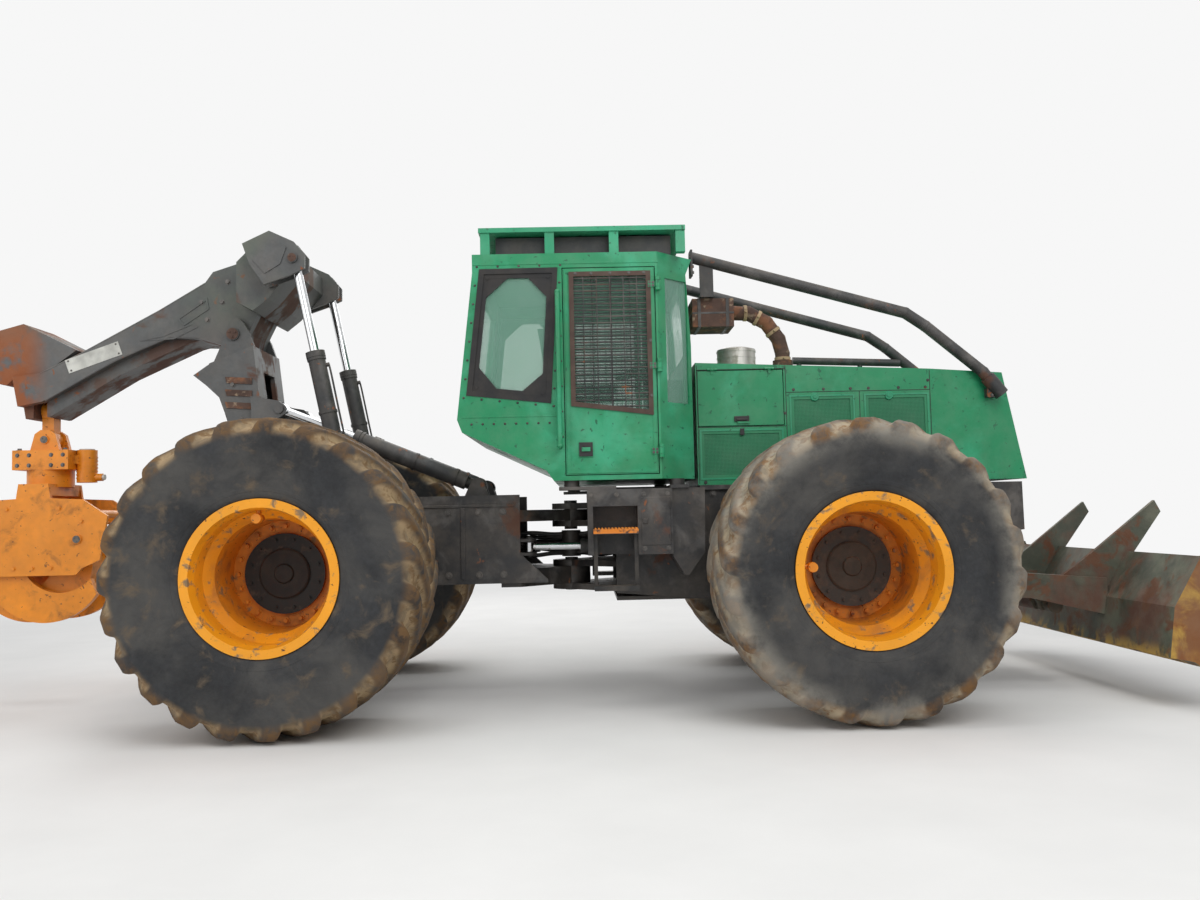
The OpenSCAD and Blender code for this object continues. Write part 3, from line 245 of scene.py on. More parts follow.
def steel(name="dark_steel", color=(0.019, 0.020, 0.021), rust=0.09, dusty=0.32, rough=0.55, tip=False):
    s = Surface(name, color, rough)
    s.shade(s.noise(2.1, 6), 0.75, 1.5).shade(s.noise(22, 8, 0.7), 0.85, 1.2)
    s.patches((0.075, 0.072, 0.07), 5, 0.25, 0.5, soft=0.1, shift=5.0)
    s.patches(RUST_DARK, 3.4, rust, 0.85, soft=0.05, shift=1.0, bump=0.0015)
    s.patches(RUST, 11, rust * 0.4, 0.9, soft=0.03, shift=7.0, bump=0.001)
    if tip:
        # rust over the boom's tip guard and along its keel
        x, _, z = s.xyz()
        guard = s.times(s.ramp(x, -3.40, -3.62), s.ramp(s.noise(5, 7, 0.6, shift=2.0), 0.36, 0.5), True)
        s.blend(guard, (0.27, 0.085, 0.03), 0.9)
        keel = s.ramp(s.from_middle(), KEEL_Y + 0.0015, KEEL_Y - 0.0015)
        keel = s.times(keel, s.ramp(s.noise(6, 7, 0.6, shift=5.0), 0.42, 0.55), True)
        s.blend(keel, (0.10, 0.045, 0.03), 0.9)
        s.patches((0.075, 0.095, 0.075), 2.0, 0.4, 0.5, soft=0.15, shift=8.0, within=s.ramp(z, 2.45, 2.7))
    s.dust(DUST, dusty, 5, 3.0)
    s.height(s.noise(60, 6), 0.0012)
    return s.done(0.0005, 500)


def orange_paint():
    s = Surface("orange_paint", (0.76, 0.245, 0.006), 0.40)
    s.shade(s.noise(2.0, 5), 0.86, 1.10).shade(s.noise(16, 6), 0.93, 1.06)
    s.patches((0.36, 0.12, 0.010), 7, 0.16, 0.6, soft=0.10, shift=2.0)
    s.patches((0.10, 0.04, 0.02), 30, 0.07, 0.8, soft=0.03, shift=6.0, bump=0.0006)
    s.dust((0.40, 0.25, 0.12), 0.20, 6, 1.0)
    s.height(s.noise(5, 4), 0.002)
    return s.done(0.0006, 300)


def rim_paint(axle):
    s = Surface("rim_" + axle, (0.88, 0.35, 0.012), 0.36)
    s.shade(s.noise(3.0, 5), 0.88, 1.08)
    # painted shade: the colour is darkened towards the depth of the dish, and dirt patches lie there too
    ay = s.from_middle()
    s.blend(s.times(s.ramp(ay, 1.50, 1.08), 0.55), (0.50, 0.13, 0.012), 0.6)
    s.patches((0.33, 0.12, 0.03), 5, 0.30, 0.75, soft=0.12, shift=2.0, within=s.ramp(ay, 1.57, 1.15))
    s.patches((0.24, 0.16, 0.09), 13, 0.16, 0.9, soft=0.06, shift=8.0)
    s.patches((0.09, 0.035, 0.02), 38, 0.06, 0.8, soft=0.02, shift=5.0)
    hub = s.times(s.ramp(s.from_axle(axle), HUB_R + 0.0005, HUB_R - 0.0005), s.ramp(ay, 1.30, 1.28))
    tint = (0.035, 0.032, 0.028) if axle == "front" else (0.004, 0.004, 0.004)
    s.blend(hub, tint, 0.6)
    s.patches((0.10, 0.085, 0.07), 12, 0.3 if axle == "front" else 0.06, 0.9, soft=0.1, shift=3.0, within=hub)
    s.height(s.noise(40, 5), 0.0006)
    return s.done(0.0005, 300)


def tyre_rubber(axle):
    R = AXLES[axle][1]
    s = Surface("tyre_" + axle, (0.026, 0.027, 0.029), 0.78, spec=0.35)
    r = s.from_axle(axle)
    s.shade(s.noise(4.0, 6), 0.7, 1.45).shade(s.noise(40, 6), 0.85, 1.2)
    # dusty film on the side wall
    s.patches((0.080, 0.077, 0.072), 2.6, 0.40, 0.92, soft=0.16, shift=1.0)
    s.patches((0.13, 0.10, 0.07), 7.5, 0.12, 0.95, soft=0.10, shift=6.0)
    groove = s.new("ShaderNodeAttribute", attribute_name="groove").outputs["Fac"]
    tread = s.ramp(r, R - 0.125, R - 0.06)
    dry = (0.40, 0.29, 0.165) if axle == "rear" else (0.42, 0.34, 0.23)
    wet = (0.17, 0.095, 0.04) if axle == "rear" else (0.20, 0.10, 0.035)
    rough = s.ramp(s.noise(9, 9, 0.62, shift=2.0, warp=0.5), 0.36, 0.60)
    # brown film over the whole tread, dried mud on the lugs' flanks and in the gaps
    s.blend(s.times(tread, s.math("ADD", s.times(rough, 0.60), 0.08), True), wet, 0.95)
    flank = s.times(tread, s.ramp(groove, 0.10, 0.75), True)
    s.blend(s.times(flank, s.math("ADD", s.times(rough, 0.5), 0.45), True), dry, 0.95)
    s.patches(wet, 17, 0.34, 0.95, soft=0.07, shift=4.0, within=s.times(tread, 0.8))
    if axle == "front":
        worn = s.times(s.ramp(r, R - 0.21, R - 0.09), s.ramp(s.noise(3.5, 6, 0.6, shift=9.0), 0.38, 0.62), True)
        s.blend(s.times(worn, 0.6), (0.30, 0.28, 0.24), 0.95)
    s.height(rough, 0.005)
    s.height(s.noise(24, 8), 0.005)
    # fine rings in the side wall, and the bead's rib
    wave = s.math("SINE", s.times(r, 1150.0))
    s.height(s.times(wave, s.band(r, (0.60, 0.61), (0.665, 0.655))), 0.0010)
    s.height(s.band(r, (0.475, 0.48), (0.502, 0.497)), 0.004)
    return s.done(0.0008, 350, 0.5)


def blade_steel():
    s = Surface("worn_blade", (0.045, 0.052, 0.035), 0.6)
    s.shade(s.noise(2.4, 6), 0.75, 1.35)
    s.patches((0.105, 0.115, 0.080), 3.2, 0.40, 0.65, soft=0.1, shift=3.0)
    s.patches(RUST_DARK, 3.0, 0.42, 0.75, soft=0.10, shift=1.0, bump=0.0015)
    s.patches((0.115, 0.045, 0.020), 5.5, 0.30, 0.85, soft=0.05, shift=7.0, bump=0.001)
    # yellow left on the lower edge and on the end plates
    edge = s.ramp(s.xyz()[2], 0.40, 0.30)
    s.patches((0.45, 0.27, 0.05), 6, 0.45, 0.75, soft=0.07, shift=5.0, within=edge)
    end = s.ramp(s.from_middle(), BLADE_END_Y - 0.0005, BLADE_END_Y + 0.0005)
    s.blend(s.times(end, 0.8), (0.24, 0.080, 0.018), 0.9)
    s.patches((0.50, 0.30, 0.05), 3.3, 0.42, 0.75, soft=0.10, shift=2.0, within=end)
    s.dust(DUST, 0.4, 5)
    s.height(s.noise(45, 7), 0.002)
    return s.done(0.0006, 400)


def chrome_rod():
    s = Surface("rod_chrome", (0.60, 0.61, 0.62), 0.16, 1.0)
    s.shade(s.noise(30, 4), 0.94, 1.04)
    s.patches((0.35, 0.33, 0.30), 18, 0.10, 0.5, 1.0, soft=0.05)
    return s.done(0.0001, 600)


def bright_metal():
    s = Surface("bright_metal", (0.62, 0.60, 0.56), 0.42, 0.7)
    s.shade(s.noise(14, 6, 0.6, (1, 1, 0.2)), 0.85, 1.1)
    s.patches((0.45, 0.40, 0.33), 9, 0.35, 0.8, 0.1, soft=0.1)
    return s.done(0.0004, 400)


def rusty_steel():
    s = Surface("rusty_steel", (0.085, 0.048, 0.035), 0.85)
    s.shade(s.noise(9, 8), 0.7, 1.4)
    s.patches((0.23, 0.10, 0.05), 7, 0.40, 0.9, soft=0.08, shift=2.0, bump=0.001)
    s.patches((0.30, 0.22, 0.15), 15, 0.18, 0.9, soft=0.05, shift=6.0)
    s.height(s.noise(70, 7), 0.0015)
    return s.done(0.0006, 400)


def glass_pane():
    s = Surface("glass", (0.24, 0.50, 0.37), 0.05)
    s.put(s.b, Alpha=0.38)
    s.patches((0.30, 0.52, 0.42), 3, 0.35, 0.4, soft=0.25)
    return s.done()


def plain(name, color, rough=0.6, metal=0.0, var=12.0, dusty=0.3, bump=0.0006):
    s = Surface(name, color, rough, metal)
    s.shade(s.noise(var, 6), 0.75, 1.3)
    s.dust(DUST, dusty, 9)
    s.height(s.noise(var * 6, 6), bump)
    return s.done(0.0003, 500)


def step_paint():
    """Orange on the serrated tread, black below it."""
    s = Surface("step_paint", (0.75, 0.22, 0.01), 0.5)
    s.patches((0.10, 0.04, 0.02), 14, 0.3, 0.8, soft=0.05)
    s.blend(s.ramp(s.xyz()[2], STEP_Z + 0.001, STEP_Z - 0.001), (0.012, 0.012, 0.012), 0.5)
    s.dust(DUST, 0.4, 9)
    return s.done(0.0005, 400)


def screen_mesh():
    """Fine wire mesh in a flat frame: fine square cells as bump and as darkening, which is painted shade seen through
    the holes.
    """
    s = Surface("screen_mesh", (0.014, 0.20, 0.085), 0.5)
    s.shade(s.noise(3, 5), 0.85, 1.15)
    x, _, z = s.xyz()
    cell = 0.009
    hole = s.ramp(s.from_middle(), HOOD_Y - 0.0025, HOOD_Y - 0.0040)
    for value in (x, z):
        wave = s.math("ABSOLUTE", s.math("SINE", s.times(value, math.pi / cell)))
        hole = s.times(hole, s.ramp(wave, 0.2, 0.55))
    # painted shade: the holes are darkened as if seen into the dark space behind the mesh
    s.blend(s.times(hole, 0.55), (0.003, 0.050, 0.022), 0.8)
    s.height(hole, -0.0015)
    s.dust(DUST_PALE, 0.25)
    return s.done(0.0004, 300)


MAT = {
    "green_paint": green_paint(),
    "pale_green_paint": green_paint("pale_green_paint", (0.020, 0.29, 0.14)),
    "door_paint": green_paint("door_paint", guard=True),
    "dark_steel": steel(),
    "orange_paint": orange_paint(),
    "worn_blade": blade_steel(),
    "rod_chrome": chrome_rod(),
    "bright_metal": bright_metal(),
    "rusty_steel": rusty_steel(),
    "glass": glass_pane(),
    "screen_mesh": screen_mesh(),
    "seat_fabric": plain("seat_fabric", (0.03, 0.03, 0.034), 0.85, bump=0.002),
    "dark_plastic": plain("dark_plastic", (0.022, 0.024, 0.026), 0.5),
    "engine_iron": plain("engine_iron", (0.05, 0.05, 0.048), 0.6, 0.3),
    "rubber": plain("rubber", (0.012, 0.012, 0.013), 0.6, dusty=0.2),
    "hose": plain("hose", (0.016, 0.016, 0.018), 0.45, dusty=0.4),
    "bolt_steel": plain("bolt_steel", (0.10, 0.095, 0.09), 0.45, 0.8, 60),
    "brown_frame": plain("brown_frame", (0.055, 0.028, 0.02), 0.7),
    "clamp_tan": plain("clamp_tan", (0.42, 0.30, 0.17), 0.75),
    "tyre_front": tyre_rubber("front"),
    "tyre_rear": tyre_rubber("rear"),
    "rim_front": rim_paint("front"),
    "rim_rear": rim_paint("rear"),
    "boom_steel": steel("boom_steel", (0.062, 0.064, 0.064), 0.06, 0.35, 0.5, True),
    "frame_black": steel("frame_black", (0.014, 0.014, 0.015), 0.07, 0.45, 0.45),
    "hub_black": plain("hub_black", (0.006, 0.006, 0.007), 0.7, bump=0.002, dusty=0.15),
    "hub_gray": plain("hub_gray", (0.040, 0.036, 0.031), 0.75, bump=0.001),
    "bare_plate": plain("bare_plate", (0.50, 0.50, 0.46), 0.6),
    "step_paint": step_paint(),
    "rubber_seal": plain("rubber_seal", (0.008, 0.008, 0.009), 0.7, dusty=0.15),
}
SLOT_OF = {s["node"]: s["material_slot"] for s in frame["record"]["subparts"]}
SPECIAL = {
    "boom": "boom_steel", "arch": "boom_steel", "front_frame": "frame_black", "rear_frame": "frame_black",
    "side_tanks": "frame_black", "limb_risers": "dark_steel", "roof_unit": "dark_plastic", "side_steps": "step_paint",
    "door_right": "door_paint", "door_left": "door_paint",
}
for name, o in NODES.items():
    key = SPECIAL.get(name, SLOT_OF.get(name, "dark_steel"))
    if name.startswith(("tyre_", "rim_")):
        key = name.split("_")[0] + "_" + name.split("_")[1]
    o.data.materials.clear()
    o.data.materials.append(MAT[key])


# -------------------------------------------------- pieces
def piece(name, bm, mat, body, smooth=False, auto=None):
    """Makes a piece of a mesh, on a body; auto is the angle in degrees from which its edges are sharp."""
    bmesh.ops.recalc_face_normals(bm, faces=bm.faces)
    me = bpy.data.meshes.new(name)
    bm.to_mesh(me)
    bm.free()
    o = bpy.data.objects.new(name, me)
    SCENE.collection.objects.link(o)
    me.materials.append(MAT[mat])
    if smooth or auto:
        me.shade_smooth()
    if auto:
        me.set_sharp_from_angle(angle=math.radians(auto))
    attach(o, body)
    return o


def side_name(side):
    return "left" if side > 0 else "right"


def both(fn, *args):
    """Calls fn with -1 for the right side and 1 for the left."""
    for side in (-1, 1):
        fn(*args, side)


def circle(x, z, r, count, turn=0.0):
    """Points round a circle in the side view; turn is in steps."""
    angles = [2 * math.pi * (e + turn) / count for e in range(count)]
    return [(x + r * math.cos(a), z + r * math.sin(a)) for a in angles]


def add_box(bm, lo, hi, bevel=0.0):
    mat = Matrix.Translation((lo + hi) / 2) @ Matrix.Diagonal((*(hi - lo), 1))
    r = bmesh.ops.create_cube(bm, size=1, matrix=mat)
    if bevel:
        edges = list({e for v in r["verts"] for e in v.link_edges})
        bmesh.ops.bevel(bm, geom=edges, offset=bevel, segments=2, affect="EDGES", profile=0.5)


def side_box(bm, side, x, y, z, bevel=0.0):
    """A box between two x, two distances from the middle and two z."""
    ya, yb = sorted((side * y[0], side * y[1]))
    add_box(bm, m(x[0], ya, z[0]), m(x[1], yb, z[1]), bevel)


def add_cyl(bm, a, b, r, r2=None, seg=20, caps=True):
    d = b - a
    q = d.to_track_quat("Z", "Y").to_matrix().to_4x4()
    bmesh.ops.create_cone(bm, cap_ends=caps, segments=seg, radius1=r, radius2=r if r2 is None else r2, depth=d.length,
                          matrix=Matrix.Translation((a + b) / 2) @ q)


def side_cyl(bm, side, x, z, y, r, r2=None, seg=20):
    """A cylinder across the machine, between two distances from the middle."""
    add_cyl(bm, m(x, side * y[0], z), m(x, side * y[1], z), r, r2, seg)


def discs(bm, x, levels, r, thick, seg):
    """Upright discs on one axis in the middle plane."""
    for z in levels:
        add_cyl(bm, m(x, 0, z), m(x, 0, z + thick), r, seg=seg)


def add_bolt(bm, at, axis, r, h, washer=True):
    """A hex head on a washer, standing out of at along axis."""
    axis = Vector(axis)
    if washer:
        add_cyl(bm, at, at + axis * h * 0.2, r * 1.45, seg=14)
    add_cyl(bm, at + axis * h * 0.2, at + axis * h, r, r * 0.94, seg=6)


def side_bolts(bm, side, y, places, r, h):
    """Bolts that stand out of a side face, y from the middle, at [x, z]."""
    for x, z in places:
        add_bolt(bm, m(x, side * y, z), (0, side, 0), r, h)


def add_tube(bm, pts, r, seg=10):
    """A tube swept along smooth points."""
    fine, steps = [], 6
    for i in range(len(pts) - 1):
        p0, p1, p2, p3 = pts[max(i - 1, 0)], pts[i], pts[i + 1], pts[min(i + 2, len(pts) - 1)]
        for k in range(steps):
            t = k / steps
            fine.append(0.5 * ((2 * p1) + (p2 - p0) * t + (2 * p0 - 5 * p1 + 4 * p2 - p3) * t * t
                               + (3 * p1 - p0 - 3 * p2 + p3) * t ** 3))
    fine.append(pts[-1])
    rings = []
    ref = Vector((0.13, 0.21, 1)).normalized()  # no tube runs along it
    for i, p in enumerate(fine):
        d = (fine[min(i + 1, len(fine) - 1)] - fine[max(i - 1, 0)]).normalized()
        across = d.cross(ref)
        if across.length < 0.05:
            across = d.cross(Vector((1, 0, 0)))
        across.normalize()
        upv = across.cross(d).normalized()
        rings.append([bm.verts.new(p + (across * math.cos(a) + upv * math.sin(a)) * r)
                      for a in (2 * math.pi * k / seg for k in range(seg))])
    for ra, rb in zip(rings, rings[1:]):
        for k in range(seg):
            bm.faces.new((ra[k], ra[(k + 1) % seg], rb[(k + 1) % seg], rb[k]))
    bm.faces.new(rings[0][::-1])
    bm.faces.new(rings[-1])


def prism(bm, side, pts, y):
    """A plate with a side-view outline, between two distances from the middle."""
    a, b = ([bm.verts.new(m(x, side * d, z)) for x, z in pts] for d in y)
    bm.faces.new(a)
    bm.faces.new(b[::-1])
    for q in range(len(pts)):
        r = (q + 1) % len(pts)
        bm.faces.new((a[q], b[q], b[r], a[r]))


def inset(pts, d):
    """The outline moved inwards by d, or outwards where d is negative."""
    after = pts[1:] + pts[:1]
    s = 1 if sum(a[0] * b[1] - b[0] * a[1] for a, b in zip(pts, after)) > 0 else -1
    out = []
    for p0, p1, p2 in zip(pts[-1:] + pts[:-1], pts, after):
        p0, p1, p2 = Vector(p0), Vector(p1), Vector(p2)
        d1, d2 = (p1 - p0).normalized(), (p2 - p1).normalized()
        n1, n2 = Vector((-d1.y, d1.x)) * s, Vector((-d2.y, d2.x)) * s
        b = (n1 + n2).normalized()
        out.append(tuple(p1 + b * d / max(b.dot(n1), 0.3)))
    return out


def frame_ring(bm, side, pts, width, y):
    """A flat frame of a width inside an outline, between two distances from the middle."""
    inner, n = inset(pts, width), len(pts)
    loops = ((pts, y[0]), (pts, y[1]), (inner, y[1]), (inner, y[0]))
    rings = [[bm.verts.new(m(x, side * d, z)) for x, z in loop] for loop, d in loops]
    for ra, rb in zip(rings, rings[1:] + rings[:1]):
        for q in range(n):
            bm.faces.new((ra[q], ra[(q + 1) % n], rb[(q + 1) % n], rb[q]))


# -------------------------------------------------- wheels
LIP_Y, DISC_Y = WHEEL_Y + 0.343, WHEEL_Y + 0.343 - 0.530  # the rim's outer lip, and the face of its disc
HUB_Y = DISC_Y + 0.030
BARREL_R = 0.374  # the rim's deep barrel


def wheel_details(axle, side):
    """Nuts round the disc, the hub's cover with its bolts, and the valve's guard."""
    name, body = f"{axle}_{side_name(side)}", f"wheel_{axle}_{side_name(side)}"
    cx, cz = AXLES[axle]
    bm = bmesh.new()
    side_bolts(bm, side, DISC_Y, circle(cx, cz, 0.280, 20), 0.014, 0.026)
    side_bolts(bm, side, HUB_Y, circle(cx, cz, 0.205, 12, 0.5), 0.009, 0.012)
    piece("wheel_nuts_" + name, bm, "rim_" + axle, body)
    bm = bmesh.new()
    for (r1, h1), (r2, h2) in (((0.150, 0.0), (0.150, 0.010)), ((0.150, 0.010), (0.140, 0.016)),
                               ((0.140, 0.016), (0.060, 0.018)), ((0.060, 0.018), (0.052, 0.030)),
                               ((0.052, 0.030), (0.030, 0.034))):
        side_cyl(bm, side, cx, cz, (HUB_Y + h1, HUB_Y + h2), r1, r2, 32)
    piece("hub_cover_" + name, bm, "hub_gray" if axle == "front" else "hub_black", body, auto=30)
    bm = bmesh.new()
    a = math.radians(95 if axle == "rear" else 176)

    def at(r, inward):
        return m(cx + r * math.cos(a), side * (LIP_Y - inward), cz + r * math.sin(a))
    add_cyl(bm, at(0.330, 0.140), at(0.330, 0.070), 0.022)
    add_cyl(bm, at(0.330, 0.070), at(0.330, 0.045), 0.030, 0.027)
    add_cyl(bm, at(0.330, 0.110), at(BARREL_R, 0.110), 0.014, seg=16)
    piece("valve_guard_" + name, bm, "orange_paint", body, auto=30)


def lug_share(v):
    """1 on a lug and 0 in a gap, by the place v within one step of the tread."""
    v %= 1.0
    if v < 0.3:
        return 1.0
    if 0.5 <= v < 0.8:
        return 0.0
    q = (v - 0.3) / 0.2 if v < 0.5 else 1 - (v - 0.8) / 0.2
    return 1 - q * q * (3 - 2 * q)


def lug_tyre(axle, side):
    """The tyre with rounded lugs in place of the part's faceted one, inside the same tips."""
    name = f"{axle}_{side_name(side)}"
    cx, R = AXLES[axle]
    lugs, deep, seed = (22, 0.028, 7) if axle == "front" else (23, 0.046, 11)
    half_width, lean, first = 0.39, 20.0, 0.020
    pitch, start = 360 / lugs, -90 - lean * first / half_width
    floor = R - deep
    # half section from the middle of the tread to the hollow: y, radius on a lug, radius in a gap
    tread = [(first, R, floor), (0.10, R - 0.001, floor), (0.20, R - 0.004, floor - 0.003),
             (0.28, R - 0.008, floor - 0.008), (0.335, R - 0.013, floor - 0.016), (0.357, R - 0.021, floor - 0.030),
             (0.374, R - 0.036, floor - 0.044), (0.385, R - 0.060, R - 0.098), (0.390, R - 0.090, R - 0.112),
             (0.390, R - 0.118, R - 0.122)]
    wall = [(0.389, R - 0.17), (0.385, R - 0.22), (0.378, 0.60), (0.368, 0.545), (0.357, 0.498), (0.350, 0.470),
            (0.340, 0.447), (0.322, 0.436), (0.305, 0.4068), (0.263, 0.4068), (0.335, R - 0.12), (0.10, R - 0.12)]
    half = tread + [(y, r, r) for y, r in wall]
    per_lug = 16
    cols = per_lug * lugs
    bm = bmesh.new()
    layer = bm.verts.layers.float.new("groove")
    rng = random.Random(seed)
    chip = [rng.uniform(0, 1) for _ in range(2 * lugs)]
    grid = []
    for y, top, low in [(-y, a, b) for y, a, b in reversed(half)] + half:
        ring = []
        shoulder = top > R - 0.10
        outer = abs(top - low) > 1e-6 or shoulder
        mix = min(max((y + first) / (2 * first), 0.0), 1.0)
        for k in range(cols):
            u = k / per_lug
            lug = lug_share(u) * (1 - mix) + lug_share(u + 0.5) * mix if outer else 1.0
            a = math.radians(start + pitch * u + lean * abs(y) / half_width)
            rad = low + (top - low) * lug
            if outer:
                rad -= chip[int(u) % lugs + (lugs if y > 0 else 0)] * 0.004 * lug
            if shoulder:
                rad -= 0.0025 * (1 + math.sin(31 * a + 40 * y) * math.cos(17 * a - 23 * y))
            v = bm.verts.new(m(cx + rad * math.cos(a), side * WHEEL_Y + y, R + rad * math.sin(a)))
            v[layer] = 1 - lug
            ring.append(v)
        grid.append(ring)
    for ra, rb in zip(grid, grid[1:] + grid[:1]):
        for k in range(cols):
            bm.faces.new((ra[k], rb[k], rb[(k + 1) % cols], ra[(k + 1) % cols]))
    o = piece("lugged_tyre_" + name, bm, "tyre_" + axle, "wheel_" + name, smooth=True)
    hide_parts("tyre_" + name)


# --------------------------------------- cab, hood, frames
SIDE_WINDOW = [(-0.520, 2.755), (-0.062, 2.758), (-0.116, 1.935), (-0.608, 1.990)]
DOOR_EDGE = [(-0.002, 1.468), (0.562, 1.468), (0.562, 2.762), (-0.002, 2.762)]
SCREENS = [(0.865, 1.430, 1.415, 1.755), (1.467, 1.909, 1.415, 1.973), (1.963, 2.404, 1.415, 1.973)]
HOOD_SEAMS_UP = ((1.4470, 1.395, 2.165), (1.9360, 1.395, 1.985), (2.4080, 1.395, 2.120), (0.8580, 1.395, 2.18))
HOOD_SEAMS_ALONG = ((1.7635, 0.858, 1.447), (1.9860, 1.447, 2.408), (2.146, 0.858, 1.447))
SEAM = 0.004


def proud(face, lo, hi):
    """Two distances from the middle, from their heights on a side face."""
    return face + lo, face + hi


def cab_side(side):
    n, y = side_name(side), CAB_Y
    bm = bmesh.new()
    frame_ring(bm, side, inset(SIDE_WINDOW, -0.020), 0.034, proud(y, -0.001, 0.006))
    # black border of the pane, wider in its corners, and the screws there
    frame_ring(bm, side, inset(SIDE_WINDOW, 0.012), 0.030, proud(y, -0.010, -0.001))
    border = [Vector(q) for q in inset(SIDE_WINDOW, 0.038)]
    for q, c in enumerate(border):
        legs = [tuple(c + (border[(q + e) % 4] - c).normalized() * 0.13) for e in (-1, 1)]
        prism(bm, side, [tuple(c), *legs], proud(y, -0.009, -0.002))
        side_cyl(bm, side, c.x, c.y, proud(y, -0.002, 0.004), 0.010, seg=12)
    piece("window_seal_" + n, bm, "rubber_seal", "front_frame")

    bm = bmesh.new()
    rivets = [(-0.60 + e * 0.07, 1.79) for e in range(8)] + [(-0.03, 1.70 + e * 0.16) for e in range(6)]
    loop = [Vector(q) for q in inset(SIDE_WINDOW, -0.036)]
    for a, b in zip(loop, loop[1:] + loop[:1]):
        count = max(2, int((b - a).length / 0.11))
        rivets += [tuple(a.lerp(b, e / count)) for e in range(count)]
    for x, z in rivets:
        side_cyl(bm, side, x, z, proud(y, 0, 0.004), 0.008, 0.005, 10)
    piece("cab_rivets_" + n, bm, "frame_black", "front_frame")

    bm = bmesh.new()
    frame_ring(bm, side, inset(DOOR_WINDOW, -0.022), 0.030, proud(y, -0.001, 0.009))
    piece("window_guard_frame_" + n, bm, "brown_frame", "door_" + n)
    bm = bmesh.new()
    (x0, z0), (x1, z1), (_, top), _ = DOOR_WINDOW
    yb, yu = side * (y - 0.003), side * (y + 0.001)
    for e in range(21):
        z = 1.885 + e * 0.041
        low = x0 + max((z0 - z) / (z0 - z1), 0) * (x1 - x0)
        add_cyl(bm, m(low, yb, z), m(x1, yb, z), 0.0055, seg=6, caps=False)
    for e in range(5):
        x = 0.118 + e * 0.085
        add_cyl(bm, m(x, yu, z0 - (z0 - z1) * (x - x0) / (x1 - x0)), m(x, yu, top), 0.004, seg=6, caps=False)
    piece("window_guard_bars_" + n, bm, "frame_black", "door_" + n)

    bm = bmesh.new()
    frame_ring(bm, side, DOOR_EDGE, 0.020, proud(y, -0.001, 0.005))
    piece("door_edge_" + n, bm, "green_paint", "door_" + n)
    bm = bmesh.new()
    side_box(bm, side, (0.072, 0.158), proud(y, 0.007, 0.012), (1.573, 1.662), 0.002)
    side_cyl(bm, side, 0.115, 1.642, proud(y, 0.010, 0.020), 0.012, seg=16)
    piece("door_latch_plate_" + n, bm, "rubber", "door_" + n)
    bm = bmesh.new()
    hinges = [(x, z + e) for z in (1.60, 2.14, 2.66) for x in (0.540, 0.562) for e in (0.010, -0.010)]
    side_bolts(bm, side, y + 0.011, hinges, 0.006, 0.006)
    edge = [(x, 2.735) for x in (0.07, 0.17, 0.29, 0.41, 0.505)] + [(0.538, 1.95 + e * 0.175) for e in range(5)]
    side_bolts(bm, side, y + 0.008, edge, 0.007, 0.008)
    piece("door_bolts_" + n, bm, "bolt_steel", "door_" + n)
    # folded seams above and below the windows
    bm = bmesh.new()
    for x0, x1, z in ((-0.575, 0.60, 2.800), (-0.660, -0.060, 1.830)):
        side_box(bm, side, (x0, x1), proud(y, 0, 0.003), (z, z + 0.010), 0.001)
    piece("cab_seams_" + n, bm, "green_paint", "front_frame")


def hood_side(side):
    n, y = side_name(side), HOOD_Y
    bm = bmesh.new()
    seams = [((x, x + SEAM), (z0, z1)) for x, z0, z1 in HOOD_SEAMS_UP]
    for x, z in seams + [((x0, x1), (z, z + SEAM)) for z, x0, x1 in HOOD_SEAMS_ALONG]:
        side_box(bm, side, x, proud(y, 0, 0.0012), z)
    piece("hood_seams_" + n, bm, "rubber_seal", "front_frame")
    bm = bmesh.new()
    for x0, x1, z0, z1 in SCREENS:
        rim = inset([(x0, z0), (x1, z0), (x1, z1), (x0, z1)], 0.004)
        frame_ring(bm, side, rim, 0.012, proud(y, -0.001, 0.004))
    for x, z in ((1.640, 1.955), (2.135, 1.955)):
        side_cyl(bm, side, x, z, proud(y, 0, 0.006), 0.030, 0.026, 24)
        side_cyl(bm, side, x, z, proud(y, 0.006, 0.010), 0.015, 0.013, 18)
    piece("screen_rims_" + n, bm, "pale_green_paint", "front_frame")
    bm = bmesh.new()
    for x, z in ((1.895, 1.70), (1.977, 1.70), (1.15, 1.732)):
        side_box(bm, side, (x - 0.014, x + 0.014), proud(y, 0, 0.012), (z - 0.022, z + 0.022), 0.003)
    piece("screen_latches_" + n, bm, "rubber", "front_frame")
    bm = bmesh.new()
    side_box(bm, side, (1.10, 1.20), proud(y, 0.001, 0.011), (1.800, 1.836), 0.003)
    side_box(bm, side, (1.115, 1.185), proud(y, 0.001, 0.019), (1.806, 1.820), 0.003)
    piece("lid_paddle_" + n, bm, "rubber", "lid_" + n)
    bm = bmesh.new()
    side_bolts(bm, side, y, [(x, 1.402) for x in (0.90, 1.16, 1.40)], 0.008, 0.008)
    upper = [(x, 2.005) for x in (1.50, 1.70, 1.88, 2.00, 2.20, 2.38)]
    upright = [(1.440, 1.45), (1.440, 1.65), (1.440, 1.85), (2.398, 2.05)]
    side_bolts(bm, side, y, upper + upright, 0.007, 0.006)
    piece("hood_bolts_" + n, bm, "frame_black", "front_frame")


